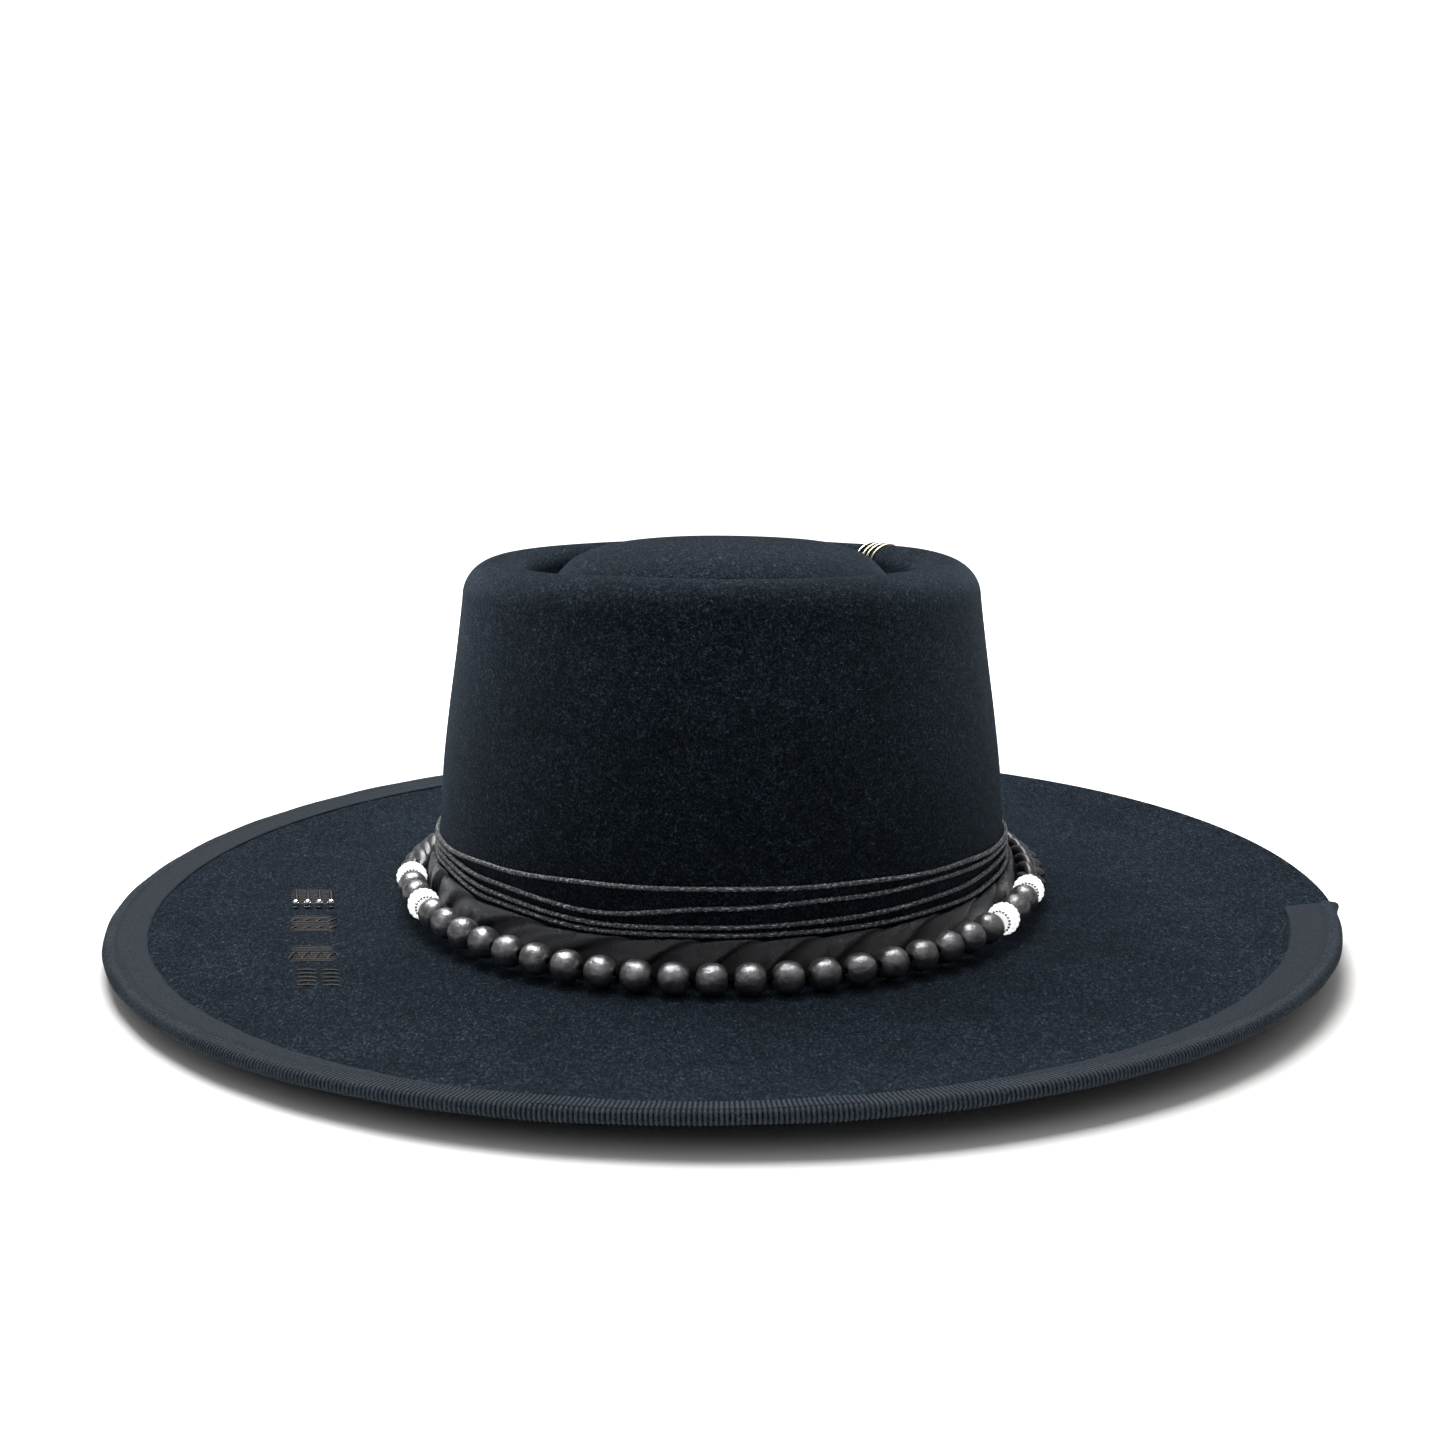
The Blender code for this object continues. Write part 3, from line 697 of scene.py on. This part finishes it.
def make_felt(finish):
    """Crown and brim in one sheet, with a rounded raw edge and a matching inside."""
    outer = felt_surface(360, 0.0013)
    down = np.gradient(outer, axis=0)
    around = np.roll(outer, -1, 1) - np.roll(outer, 1, 1)
    normal = unit(np.cross(around, down))
    normal[-1] = (0, 0, 1)
    outer = hand_shaping(outer, normal)
    inner = outer - normal * FELT
    edge_out = unit(outer[0] - outer[1])
    middle = (outer[0] + inner[0]) / 2
    rolls = []
    for turn in np.radians(np.linspace(-72, 72, 7)):
        rolls.append(middle + normal[0] * (FELT / 2 * sin(turn)) + edge_out * (EDGE_BULGE * cos(turn)))
    points = np.vstack([inner[::-1], np.stack(rolls), outer])
    mesh = grid_mesh("felt_skin", points, finish, wrap_v=True)
    add_piece("felt_skin", mesh, "hat", "felt", "felt_body")


# ---------------------------------------------------------------- ribbon


def ribbon_width(angle):
    """How far the ribbon reaches in over the brim's top; it is narrowest at the front."""
    front = np.maximum(0.0, -np.sin(angle))
    return (12.4 + 0.8 * np.cos(angle) - 4.9 * front**6) / 1000


def make_ribbon(finish):
    """Grosgrain folded over the brim's edge, its ribs standing out along the fold."""
    turn = np.linspace(RIBBON_START, RIBBON_END, 2000)
    length = run_lengths(brim_top(np.ones(len(turn)), turn))
    ribs = int(length[-1] / RIB_PITCH)
    station = np.linspace(0, length[-1], ribs * 7 + 1)
    angle = np.interp(station, length, turn)
    width = ribbon_width(angle)[:, None]

    fold = np.radians(np.linspace(90, -90, 13))
    gap = 0.00006
    half = FELT / 2 + gap + RIBBON_THICK
    top_in = np.linspace(1, 0.10, 14)
    under_in = np.linspace(0.10, 0.9, 5)
    ones = np.ones_like(width)
    fold_in = 0.0008 - 0.0016 * np.cos(fold)
    hidden_in = np.array([RIBBON_UNDER, 0.001, -0.0002, -0.0002, 0.001])
    top_level = np.full(len(top_in), gap + RIBBON_THICK)
    under_level = np.full(len(under_in), -FELT - gap - RIBBON_THICK)
    hidden_level = np.array([-1, -1, -1, 1, 1]) * gap + np.array([-1, -1, -1, 0, 0]) * FELT
    rows = [width * top_in, ones * fold_in, RIBBON_UNDER * under_in / 0.9 * ones, hidden_in * ones, width]
    depth = np.concatenate(rows, 1)
    level = np.concatenate([top_level, -FELT / 2 + half * np.sin(fold), under_level, hidden_level, [gap]])
    face = np.zeros(len(level))
    face[: len(top_in) + len(fold) + len(under_in)] = 1.0

    front = np.maximum(0.0, -np.sin(angle))[:, None]
    ribbed = 0.0028 + 0.0062 * front**6
    mask = np.clip((ribbed - depth) / 0.0015 + 0.5, 0, 1) * face
    wander = 1 + 0.3 * np.sin(station * 137) * np.sin(station * 61.3)
    ridge = np.abs(np.sin(station / RIB_PITCH * pi)) ** 0.8
    relief = RIB_DEPTH * ((ridge * wander)[:, None] - 0.75) * mask
    side = np.where(level > -FELT / 2, 1.0, -1.0) * np.clip(np.abs(level + FELT / 2) / half, 0, 1)
    outward = np.clip((0.0010 - depth) / 0.0016, 0, 1)
    height = level[None, :] + relief * side[None, :]
    depth = depth - relief * outward

    loops = 0.0004 * front**6 * ((ridge * wander)[:, None] - 0.6)
    waver = 0.00035 * (np.sin(station * 229 + 1.0) * np.sin(station * 113))[:, None] + loops
    inner = np.clip((depth - width + 0.004) / 0.004, 0, 1) * (np.arange(len(level)) != len(level) - 1)
    depth = depth + waver * inner * face
    height = height - 0.00022 * (np.arange(len(level)) == 0)[None, :]
    crease = np.exp(-(((depth - width + 0.0030) / 0.0005) ** 2)) * face
    height = height - 0.00014 * crease

    end = np.clip((station[-1] - station) / 0.012, 0, 1)[:, None]
    depth = depth - 0.0016 * (1 - end) ** 2 * outward
    share = 1 - depth / BRIM_WIDTH
    points = brim_point(share, height, np.broadcast_to(angle[:, None], share.shape))
    # The UV's second coordinate carries the ribbed mask; the ribbon's material uses it to paint shade in the
    # rib grooves and light on the rib tops.
    uv = np.stack(np.broadcast_arrays(station[:, None], mask), -1)
    mesh = grid_mesh("ribbon", points, finish, wrap_v=True, caps=True, uv=uv)
    add_piece("ribbon", mesh, "hat", "grosgrain", "brim_binding")


# ---------------------------------------------------------------- crown wrap


def wall_half_width(height):
    foot = (RIM_HALF_WIDTH + RIM_OUTER_RADIUS, RIM_HEIGHT - RIM_OUTER_RADIUS)
    widths, heights = zip((BASE_HALF_WIDTH, FELT + BREAK_RADIUS), *WALL, foot)
    return np.interp(height, heights, widths)


def wall_point(height, outwards, angle):
    """Points at a distance outside the crown's wall."""
    half = wall_half_width(height) + outwards
    x, y = oval(half, half + CROWN_STRETCH, BASE_EXPONENT, angle)
    return np.stack([x, y, np.broadcast_to(height, x.shape)], -1)


def cord_height(name, angle):
    heights = CORD_HEIGHTS[name]
    angles = np.array([*CORD_ANGLES, 360.0])
    values = np.array([*heights, heights[0]])
    degrees = np.degrees(angle) % 360
    k = np.clip(np.searchsorted(angles, degrees, side="right") - 1, 0, len(heights) - 1)
    t = (degrees - angles[k]) / (angles[k + 1] - angles[k])
    ease = t * t * (3 - 2 * t)
    return (values[k] + (values[k + 1] - values[k]) * ease) / 1000


def twisted_tube(name, points, radius, plies, pitch, finish, closed=True, sides=15, depth=0.36):
    """A laid cord: its section has a lobe for each ply, which turns along the cord."""
    line = ring_closed(points) if closed else points
    _, out, up = line_frames(points, closed)
    if closed:
        out, up = ring_closed(out), ring_closed(up)
    length = run_lengths(line)
    turns = round(length[-1] / pitch) if closed else length[-1] / pitch
    spin = length / length[-1] * tau * turns
    around = np.arange(sides) / sides * tau
    lobe = np.abs(np.cos(plies / 2 * (around[None, :] - spin[:, None])))
    size = radius * (1 - depth * (1 - lobe) ** 1.3)
    grid = swept(line, out, up, size * np.cos(around), size * np.sin(around))
    uv = np.stack(np.broadcast_arrays(length[:, None], (around * radius)[None, :]), -1)
    return grid_mesh(name, grid, finish, wrap_v=True, caps=not closed, uv=uv)


def make_waxed_cords(finish):
    count = 2200
    angle = (np.arange(count) + 0.5) * tau / count
    for index, name in enumerate(CORD_HEIGHTS):
        ripple = 0.00012 * np.sin(angle * 9 + index) * np.sin(angle * 5 + 2 * index)
        height = cord_height(name, angle) + ripple
        points = wall_point(height, CORD_RADIUS + 0.0002, angle)
        mesh = twisted_tube(f"cord_turn_{index + 1}", points, CORD_RADIUS, 3, 0.0036, finish)
        add_piece(f"cord_turn_{index + 1}", mesh, "crown_wrap", "waxed_cord", name)


def make_satin(finish):
    """Satin rolled on itself: slanting folds that overlap, with finer creases across them."""
    count, sides = 1400, 40
    angle = (np.arange(count) + 0.5) * tau / count
    top = cord_height("waxed_cord_4", angle) - CORD_RADIUS - 0.0003
    middle, half = (top + TWIST_BOTTOM) / 2, (top - TWIST_BOTTOM) / 2
    length = run_lengths(wall_point(middle, 0.002, angle))[:, None]
    total = length[-1, 0]
    around = (np.arange(sides) / sides * tau)[None, :]
    folds = 31
    drift = 0.35 * np.sin(length * 23) + 0.25 * np.sin(length * 51 + 1)
    phase = length / total * folds + 2.2 * around / tau + drift
    saw = phase % 1.0
    lobe = np.clip(np.minimum((1 - saw) / 0.14, saw / 0.86), 0, 1)
    lobe = np.sin(lobe * pi / 2) ** 0.8
    creased = np.clip(np.sin(length * 67 + 2 * around), 0, 1)
    fine = np.sin(tau * (4 * phase + 0.3 * np.sin(around * 3))) * creased
    depth = 0.25 + 0.75 * lobe + 0.10 * fine
    radial = TWIST_THICKNESS / 2
    out = TWIST_INNER + radial * (0.30 + depth * (0.75 - 1.30 * np.cos(around)))
    out = np.maximum(out, 0.0001)
    height = middle[:, None] + half[:, None] * (0.72 + 0.28 * depth) * np.sin(around)
    points = wall_point(height, out, np.broadcast_to(angle[:, None], height.shape))
    points = np.concatenate([points, points[:1]])
    run = np.concatenate([length[:, 0], [total]])
    uv = np.stack(np.broadcast_arrays(run[:, None], around * 0.0045), -1)
    mesh = grid_mesh("satin_roll", points, finish, wrap_v=True, uv=uv)
    add_piece("satin_roll", mesh, "crown_wrap", "satin", "satin_twist")


# ---------------------------------------------------------------- bead strand


def strand_points(angle):
    x, y = oval(STRAND_HALF_WIDTH, STRAND_HALF_LENGTH, STRAND_EXPONENT, angle)
    middle = np.where(np.sin(angle) < 0, STRAND_FRONT_HEIGHT, STRAND_BACK_HEIGHT)
    return np.stack([x, y, middle + (STRAND_SIDE_HEIGHT - middle) * np.cos(angle) ** 2], -1)


def node_centre(name):
    low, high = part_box(name)
    return (low + high) / 2


def bead_angle(name):
    """The angle on the strand nearest a bead's centre."""
    sample = np.linspace(0, tau, 7201)
    gap = strand_points(sample) - np.array(node_centre(name))
    return sample[np.linalg.norm(gap, axis=1).argmin()]


def bead_mesh(name, radius, half_length, finish, uneven, seed):
    """A bead turned about local Z with rounded bore edges and a hand-polished, slightly uneven skin."""
    rings, sides = 22, 40
    widest = sqrt(1 - (BORE_RADIUS / radius) ** 2)
    a = np.linspace(1, -1, rings) * atan2(widest, BORE_RADIUS / radius)
    r = radius * np.cos(a) ** 0.80
    z = half_length * np.sign(np.sin(a)) * np.abs(np.sin(a)) ** 0.84
    lip = np.array([0.97, 0.72, 0.35, -0.35, -0.72, -0.97])
    r = np.concatenate([r, np.full(6, BORE_RADIUS * 0.97)])
    z = np.concatenate([z, -half_length * lip])
    turn = np.arange(sides) / sides * tau
    rng = np.random.default_rng(seed)
    wobble = np.ones((len(r), sides))
    for k in range(2, 5):
        shift, tilt = rng.uniform(0, tau, 2)
        wave = np.cos(k * turn[None, :] + shift) * np.cos(1.5 * z[:, None] / half_length + tilt)
        wobble += uneven / k * wave
    grid = np.stack(
        [
            r[:, None] * wobble * np.cos(turn),
            r[:, None] * wobble * np.sin(turn),
            np.broadcast_to(z[:, None], wobble.shape),
        ],
        -1,
    )
    return grid_mesh(name, grid, finish, wrap_u=True, wrap_v=True)


def small_ball(name, centre, radius, finish, rings=8, sides=10, flat=1.0, axis=(0, 0, 1)):
    a = np.linspace(pi / 2 - 0.02, -pi / 2 + 0.02, rings)
    t = np.arange(sides) / sides * tau
    grid = np.stack(
        [
            np.cos(a)[:, None] * np.cos(t)[None, :],
            np.cos(a)[:, None] * np.sin(t)[None, :],
            np.broadcast_to(np.sin(a)[:, None] * flat, (rings, sides)),
        ],
        -1,
    )
    turn = np.array(Vector(axis).to_track_quat("Z", "Y").to_matrix())
    grid = grid @ turn.T * radius + np.array(centre)
    return grid_mesh(name, grid, finish, wrap_v=True, caps=True)


def silver_bead_mesh(name, silver, stone):
    """A silver barrel with rows of small stones between two beaded rims; the barrel and the stones wear the
    white stone finish, whose glow is painted light.
    """
    barrel, rim = SILVER_RADIUS * 0.90, SILVER_RADIUS * 0.66
    parts = [bead_mesh("barrel", barrel, SILVER_HALF, stone, 0.0, 1)]
    for row, (share, count) in enumerate(((-0.46, 16), (0.0, 17), (0.46, 16))):
        z = share * SILVER_HALF
        r = barrel * sqrt(1 - (share * 0.8) ** 2)
        for k in range(count):
            t = tau * (k + 0.5 * row) / count
            axis = (cos(t), sin(t), share * 0.8)
            centre = (r * cos(t), r * sin(t), z)
            ball = small_ball("stone", centre, STONE_RADIUS, stone, rings=5, sides=6, flat=0.6, axis=axis)
            parts.append(ball)
    for side in (-1, 1):
        for k in range(20):
            t = tau * k / 20
            centre = (rim * cos(t), rim * sin(t), side * SILVER_HALF * 0.93)
            parts.append(small_ball("rim", centre, GRAIN_RADIUS, silver, rings=6, sides=7))
    return join_meshes(name, parts, silver, stone)


def make_beads(dark, silver, stone):
    shared_silver = silver_bead_mesh("silver_bead", silver, stone)
    joints = {j["child"]: j for j in frame["joints"]}
    for number in range(1, 29):
        node = f"bead_{number:02d}"
        joint = joints[node + "_body"]
        if node in SILVER_BEADS:
            mesh, slot = shared_silver, "silver_bead"
        else:
            mesh = bead_mesh(f"{node}_skin", DARK_RADIUS, DARK_HALF, dark, 0.018, number)
            slot = "dark_bead"
        made = bpy.data.objects.new(node + "_skin", mesh)
        made.location = joint["pos_m"]
        made.rotation_mode = "QUATERNION"
        turn = Vector(joint["axis"]).to_track_quat("Z", "Y")
        made.rotation_quaternion = turn @ Matrix.Rotation(number * 1.7, 3, "Z").to_quaternion()
        bpy.context.scene.collection.objects.link(made)
        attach(made, node + "_body")
        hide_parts(node)


def make_braid(finish):
    """A three-strand plait of leather lace from the last bead round the back to the first."""
    first, last = bead_angle("bead_28"), bead_angle("bead_01")
    if first > last:
        first -= tau
    margin = LACE_GAP / STRAND_HALF_WIDTH
    angle = np.linspace(first + margin, last - margin, 1500)
    line = strand_points(angle)
    _, out, up = line_frames(line, False)
    length = run_lengths(line)
    wide = unit(out - 0.8 * up)
    deep = unit(out * 0.8 + up)
    taper = np.clip(np.minimum(length, length[-1] - length) / 0.006, 0.3, 1) ** 0.5
    speed = tau / LACE_PITCH
    parts = []
    for k in range(3):
        turn = length * speed + tau * k / 3
        centre = line + wide * (LACE_SWING * taper * np.sin(turn))[:, None]
        centre = centre + deep * (LACE_WEAVE * np.sin(2 * turn))[:, None]
        around = np.arange(14) / 14 * tau
        flat = unit(wide + 0.35 * deep * np.cos(turn)[:, None])
        thick = unit(np.cross(flat, np.gradient(centre, axis=0)))
        broad = (LACE_HALF_WIDTH * taper)[:, None] * np.cos(around)[None, :]
        slim = (LACE_HALF_THICKNESS * taper)[:, None] * np.sin(around)[None, :]
        grid = swept(centre, flat, thick, broad, slim)
        parts.append(grid_mesh("lace", grid, finish, wrap_v=True, caps=True))
    for place, neighbour in ((0, 1), (-1, -2)):
        axis = line[place] - line[neighbour]
        parts.append(small_ball("lace_end", line[place], 0.0034, finish, 14, 20, 0.55, axis))
    mesh = join_meshes("plaited_lace", parts, finish)
    add_piece("plaited_lace", mesh, "bead_strand", "braid", "braided_rope")


# ---------------------------------------------------------------- brim and crown trims


def brim_height(x, y):
    """Height of the brim's top at a place, from the oval through it."""
    low, high = 0.0, 1.0
    for _ in range(40):
        share = (low + high) / 2
        start = BRIM_START + CROWN_STRETCH
        width = BRIM_START + BRIM_WIDTH * share
        length = start + (EDGE_HALF_LENGTH - start) * share
        inside = abs(x / width) ** BASE_EXPONENT + abs(y / length) ** BASE_EXPONENT < 1
        low, high = (low, share) if inside else (share, high)
    angle = atan2(y / length, x / width)
    return float(brim_top(np.array(share), np.array(angle))[2])


def laid_thread(name, start, end, radius, finish, rise=0.0002, taper=0.7):
    """A stitch of thread on the brim, bowed up between its ends."""
    t = np.linspace(0, 1, 13)
    a, b = np.array(start), np.array(end)
    flat = a[None, :] + (b - a)[None, :] * t[:, None]
    z = [brim_height(x, y) for x, y in flat]
    line = np.column_stack([flat, np.array(z) + rise * np.sin(pi * t) - radius * 0.25])
    along = unit(np.gradient(line, axis=0))
    side = unit(np.cross(along, (0, 0, 1.0)))
    size = radius * (1 - taper * (2 * t - 1) ** 6)
    grid = round_tube(line, side, np.cross(side, along), size, 10)
    return grid_mesh(name, grid, finish, wrap_v=True, caps=True)


def make_studs(metal, thread):
    """Each ball stud, and behind it a bar of close thread turns."""
    for index in range(1, 5):
        low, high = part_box(f"ball_stud_{index}")
        centre = (low + high) / 2
        ball = small_ball("ball", centre, (high.x - low.x) / 2, metal, rings=22, sides=32)
        foot = (centre.x, centre.y, low.z + 0.0002)
        collar = small_ball("collar", foot, 0.0009, metal, rings=9, sides=20, flat=0.35)
        mesh = join_meshes(f"stud_{index}", [ball, collar], metal)
        add_piece(f"stud_{index}", mesh, "hat", "stud_metal", f"ball_stud_{index}")

        low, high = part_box(f"stitched_bar_{index}")
        turns, slant = 42, 0.00018
        parts = []
        for k in range(turns):
            share = (k + 0.5) / turns
            y = low.y + (high.y - low.y) * share
            half = 0.00058 - 0.00025 * share
            middle = high.x - 0.0006 + (low.x + 0.00035 - high.x + 0.0006) * share
            start, end = (middle - half, y - slant), (middle + half, y + slant)
            parts.append(laid_thread("turn", start, end, FINE_THREAD, thread, rise=0.00035))
        mesh = join_meshes(f"bar_{index}", parts, thread)
        add_piece(f"bar_{index}", mesh, "hat", "thread", f"stitched_bar_{index}")


def stitch_patch(name, corner, across, down, count, brown):
    """Rows of loose brown ground stitches filling a slanted patch."""
    rng = np.random.default_rng(len(name))
    parts = []
    corner, across, down = np.array(corner), np.array(across), np.array(down)
    for k in range(count):
        start = corner + down * (k + rng.uniform(0.2, 0.8)) / count + across * rng.uniform(0.0, 0.08)
        end = start + across * rng.uniform(0.86, 0.94) + down * rng.uniform(-0.02, 0.02)
        parts.append(laid_thread("ground", start, end, FINE_THREAD, brown, rise=0.0, taper=0.9))
    add_piece(name, join_meshes(name, parts, brown), "hat", "thread")


def make_embroidery(black, brown):
    """Three patches of ground stitches, and short rows of thread on them and in front of them."""
    slant = EMBROIDERY_SLANT
    for name, corner, width, length, count in (
        ("ground_1", (-0.1395, -0.0045), 0.0155, 0.0185, 15),
        ("ground_2", (-0.1322, -0.0355), 0.0150, 0.0170, 15),
        ("ground_3", (-0.1246, -0.0672), 0.0146, 0.0150, 13),
    ):
        stitch_patch(name, corner, (width, 0.0), (slant * length, -length), count, brown)
    parts = []
    for line, far in enumerate((-0.0405, -0.0485)):
        for k in range(4):
            start = np.array([-0.1298 + 0.0038 * k + slant * 0.0080 * line, far - 0.0017])
            parts.append(laid_thread("dash", start, start + (0.0023, 0.0036), 0.00044, black))
    add_piece("stitches_row_2", join_meshes("row_2", parts, black), "hat", "thread")
    parts = []
    for k in range(4):
        start = np.array([-0.1212 + 0.0036 * k, -0.0798])
        top = start + (0.0008, 0.0062)
        parts.append(laid_thread("rising", start, top, 0.00048, black))
        parts.append(laid_thread("back", top, top + (0.0018, -0.0036), 0.00034, black))
    add_piece("stitches_row_3", join_meshes("row_3", parts, black), "hat", "thread")
    parts = []
    for k in range(5):
        start = np.array([-0.1168 + slant * 0.0034 * k, -0.0908 - 0.0034 * k])
        middle = start + (0.0062, 0.0003)
        parts.append(laid_thread("line", start, middle, 0.00040, brown))
        after = middle + (0.0006, -0.0002)
        parts.append(laid_thread("line", after, after + (0.0058, 0.0001), 0.00040, brown))
    add_piece("stitches_row_4", join_meshes("row_4", parts, brown), "hat", "thread")


def make_crown_stitches(finish):
    """Twisted metallic thread hooked over the rim, its ends sunk into the felt."""
    radius = 0.00042
    centre_height = RIM_HEIGHT - RIM_INNER_RADIUS
    for index, side in enumerate((42.5, 40.0, 38.0, 35.5)):
        over = np.radians(np.linspace(62, 172, 60))
        t = np.linspace(0, 1, 60)
        sink = 0.0011 * (np.abs(2 * t - 1) ** 8)
        reach = RIM_INNER_RADIUS + radius * 0.9 - sink
        half = RIM_HALF_WIDTH + reach * np.cos(over)
        angle = np.radians(side + 1.6 * (t - 0.5))
        x, y = oval(half, half + CROWN_STRETCH, BASE_EXPONENT, angle)
        line = np.stack([x, y, centre_height + reach * np.sin(over)], -1)
        along = unit(np.gradient(line, axis=0))
        flat = unit(np.cross(along, np.array([-sin(radians(side)), cos(radians(side)), 0.0])))
        other = np.cross(flat, along)
        around = np.arange(12) / 12 * tau
        spin = run_lengths(line) / 0.0016 * tau
        lobe = np.abs(np.cos(around[None, :] - spin[:, None]))
        size = radius * (1 - 0.22 * (1 - lobe))
        grid = swept(line, flat, other, size * np.cos(around), size * np.sin(around))
        mesh = grid_mesh(f"rim_stitch_{index + 1}", grid, finish, wrap_v=True, caps=True)
        add_piece(f"rim_stitch_{index + 1}", mesh, "hat", "stitch_wire", f"crown_stitch_{index + 1}")


# ---------------------------------------------------------------- inside


def make_sweatband(leather, thread):
    """The leather band, its folded top edge and two rows of stitching near its foot."""
    count = 360
    angle = (np.arange(count) + 0.5) * tau / count
    outside = -FELT - 0.0005
    inside = outside - 0.0009
    heights = np.concatenate([[0.0007, 0.0012], np.linspace(0.004, 0.0372, 22), [0.0379]])
    face = np.full(len(heights), inside)
    face[0] += 0.0003
    face[-1] += 0.0003
    ripple = 0.0002 * np.sin(angle * 14)[:, None] * np.linspace(0, 1, len(heights))[None, :]
    width = wall_half_width(np.maximum(heights, 0.010))
    half_in = width[None, :] + face[None, :] + ripple
    half_out = np.broadcast_to(width[None, ::-1] + outside, half_in.shape)
    half = np.concatenate([half_in, half_out], 1)
    level = np.concatenate([heights, heights[::-1]])
    x, y = oval(half, half + CROWN_STRETCH, BASE_EXPONENT, angle[:, None])
    grid = np.stack([x, y, np.broadcast_to(level[None, :], x.shape)], -1)
    mesh = grid_mesh("sweatband_skin", grid, leather, wrap_u=True, wrap_v=True)
    add_piece("sweatband_skin", mesh, "hat", "sweatband_leather", "sweatband")

    parts = []
    stitches = 190
    for level in (0.0042, 0.0345):
        for k in range(stitches):
            t = np.linspace(k, k + 0.68, 7) / stitches * tau
            bow = np.sin(np.linspace(0, pi, 7)) * 0.0003
            half = wall_half_width(max(level, 0.010)) + inside - bow + 0.0001
            x, y = oval(half, half + CROWN_STRETCH, BASE_EXPONENT, t)
            line = np.stack([x, y, np.full(7, level)], -1)
            _, out, up = line_frames(line, False)
            grid = round_tube(line, out, up, 0.0003, 6)
            parts.append(grid_mesh("stitch", grid, thread, wrap_v=True, caps=True))
    add_piece("sweatband_stitches", join_meshes("band_stitches", parts, thread), "hat", "thread")


def make_lint(finish):
    """Stray fibres on the felt."""
    rng = np.random.default_rng(11)
    parts = []
    for _ in range(70):
        share, angle = rng.uniform(0.12, 0.84), rng.uniform(pi * 0.95, pi * 2.05)
        centre = brim_top(np.array(share), np.array(angle)) + (0, 0, 0.00012)
        parts.append(lint_fibre(centre, rng, (0, 0, 1), finish))
    for _ in range(46):
        height, angle = rng.uniform(0.034, 0.100), rng.uniform(pi * 1.08, pi * 1.92)
        centre = wall_point(np.array(height), 0.0001, np.array(angle))
        away = (cos(angle), sin(angle), 0.0)
        parts.append(lint_fibre(centre, rng, away, finish))
    add_piece("lint", join_meshes("lint", parts, finish), "hat", "felt")


def lint_fibre(centre, rng, away, finish):
    """A short curved fibre that lies on the felt, square to the direction away from it."""
    away = np.array(Vector(away).normalized())
    side = unit(np.cross(away, (0.3, 0.2, 0.9)) + 1e-6)
    other = np.cross(away, side)
    turn, bend = rng.uniform(0, tau), rng.uniform(-2.5, 2.5)
    length = rng.uniform(0.0006, 0.0018)
    t = np.linspace(-0.5, 0.5, 7)
    heading = turn + bend * t
    run = np.cumsum(np.stack([np.cos(heading), np.sin(heading)], 1), 0) * length / 7
    line = centre + run[:, :1] * side + run[:, 1:] * other
    up = np.broadcast_to(away, line.shape)
    across = unit(np.cross(np.gradient(line, axis=0), up))
    grid = round_tube(line, up, across, LINT_RADIUS, 4)
    return grid_mesh("fibre", grid, finish, wrap_v=True, caps=True)


def finish_kept_nodes():
    """The CAD nodes that are shown as they are."""
    for name, finish, slot in (
        ("bead_string", plain_cord_finish(), "string"),
        ("sweatband_reed", reed_finish(), "reed"),
    ):
        node = frame["nodes"][name]
        node.data.materials.clear()
        node.data.materials.append(finish)


def main():
    make_camera()
    make_floor()
    make_surround()
    make_lights()
    make_felt(felt_finish())
    make_ribbon(grosgrain_finish())
    make_waxed_cords(waxed_finish())
    make_satin(satin_finish())
    silver = metal_finish("bright_silver", (0.92, 0.92, 0.93), 0.14)
    make_beads(dark_bead_finish(), silver, glowing_stone_finish())
    make_braid(braid_finish())
    black = thread_finish("black_thread", (0.0015, 0.0015, 0.0018), (0.012, 0.012, 0.013), 0.5)
    make_studs(metal_finish("stud_silver", (0.90, 0.90, 0.91), 0.16), black)
    brown = thread_finish("brown_thread", (0.010, 0.007, 0.0065), (0.030, 0.022, 0.020))
    make_embroidery(black, brown)
    make_crown_stitches(metal_finish("pale_gold_thread", (0.86, 0.80, 0.62), 0.28))
    make_sweatband(sweatband_finish(), black)
    make_lint(thread_finish("lint_fibre", (0.06, 0.06, 0.075), (0.24, 0.23, 0.28)))
    finish_kept_nodes()

    bpy.context.view_layer.update()


main()
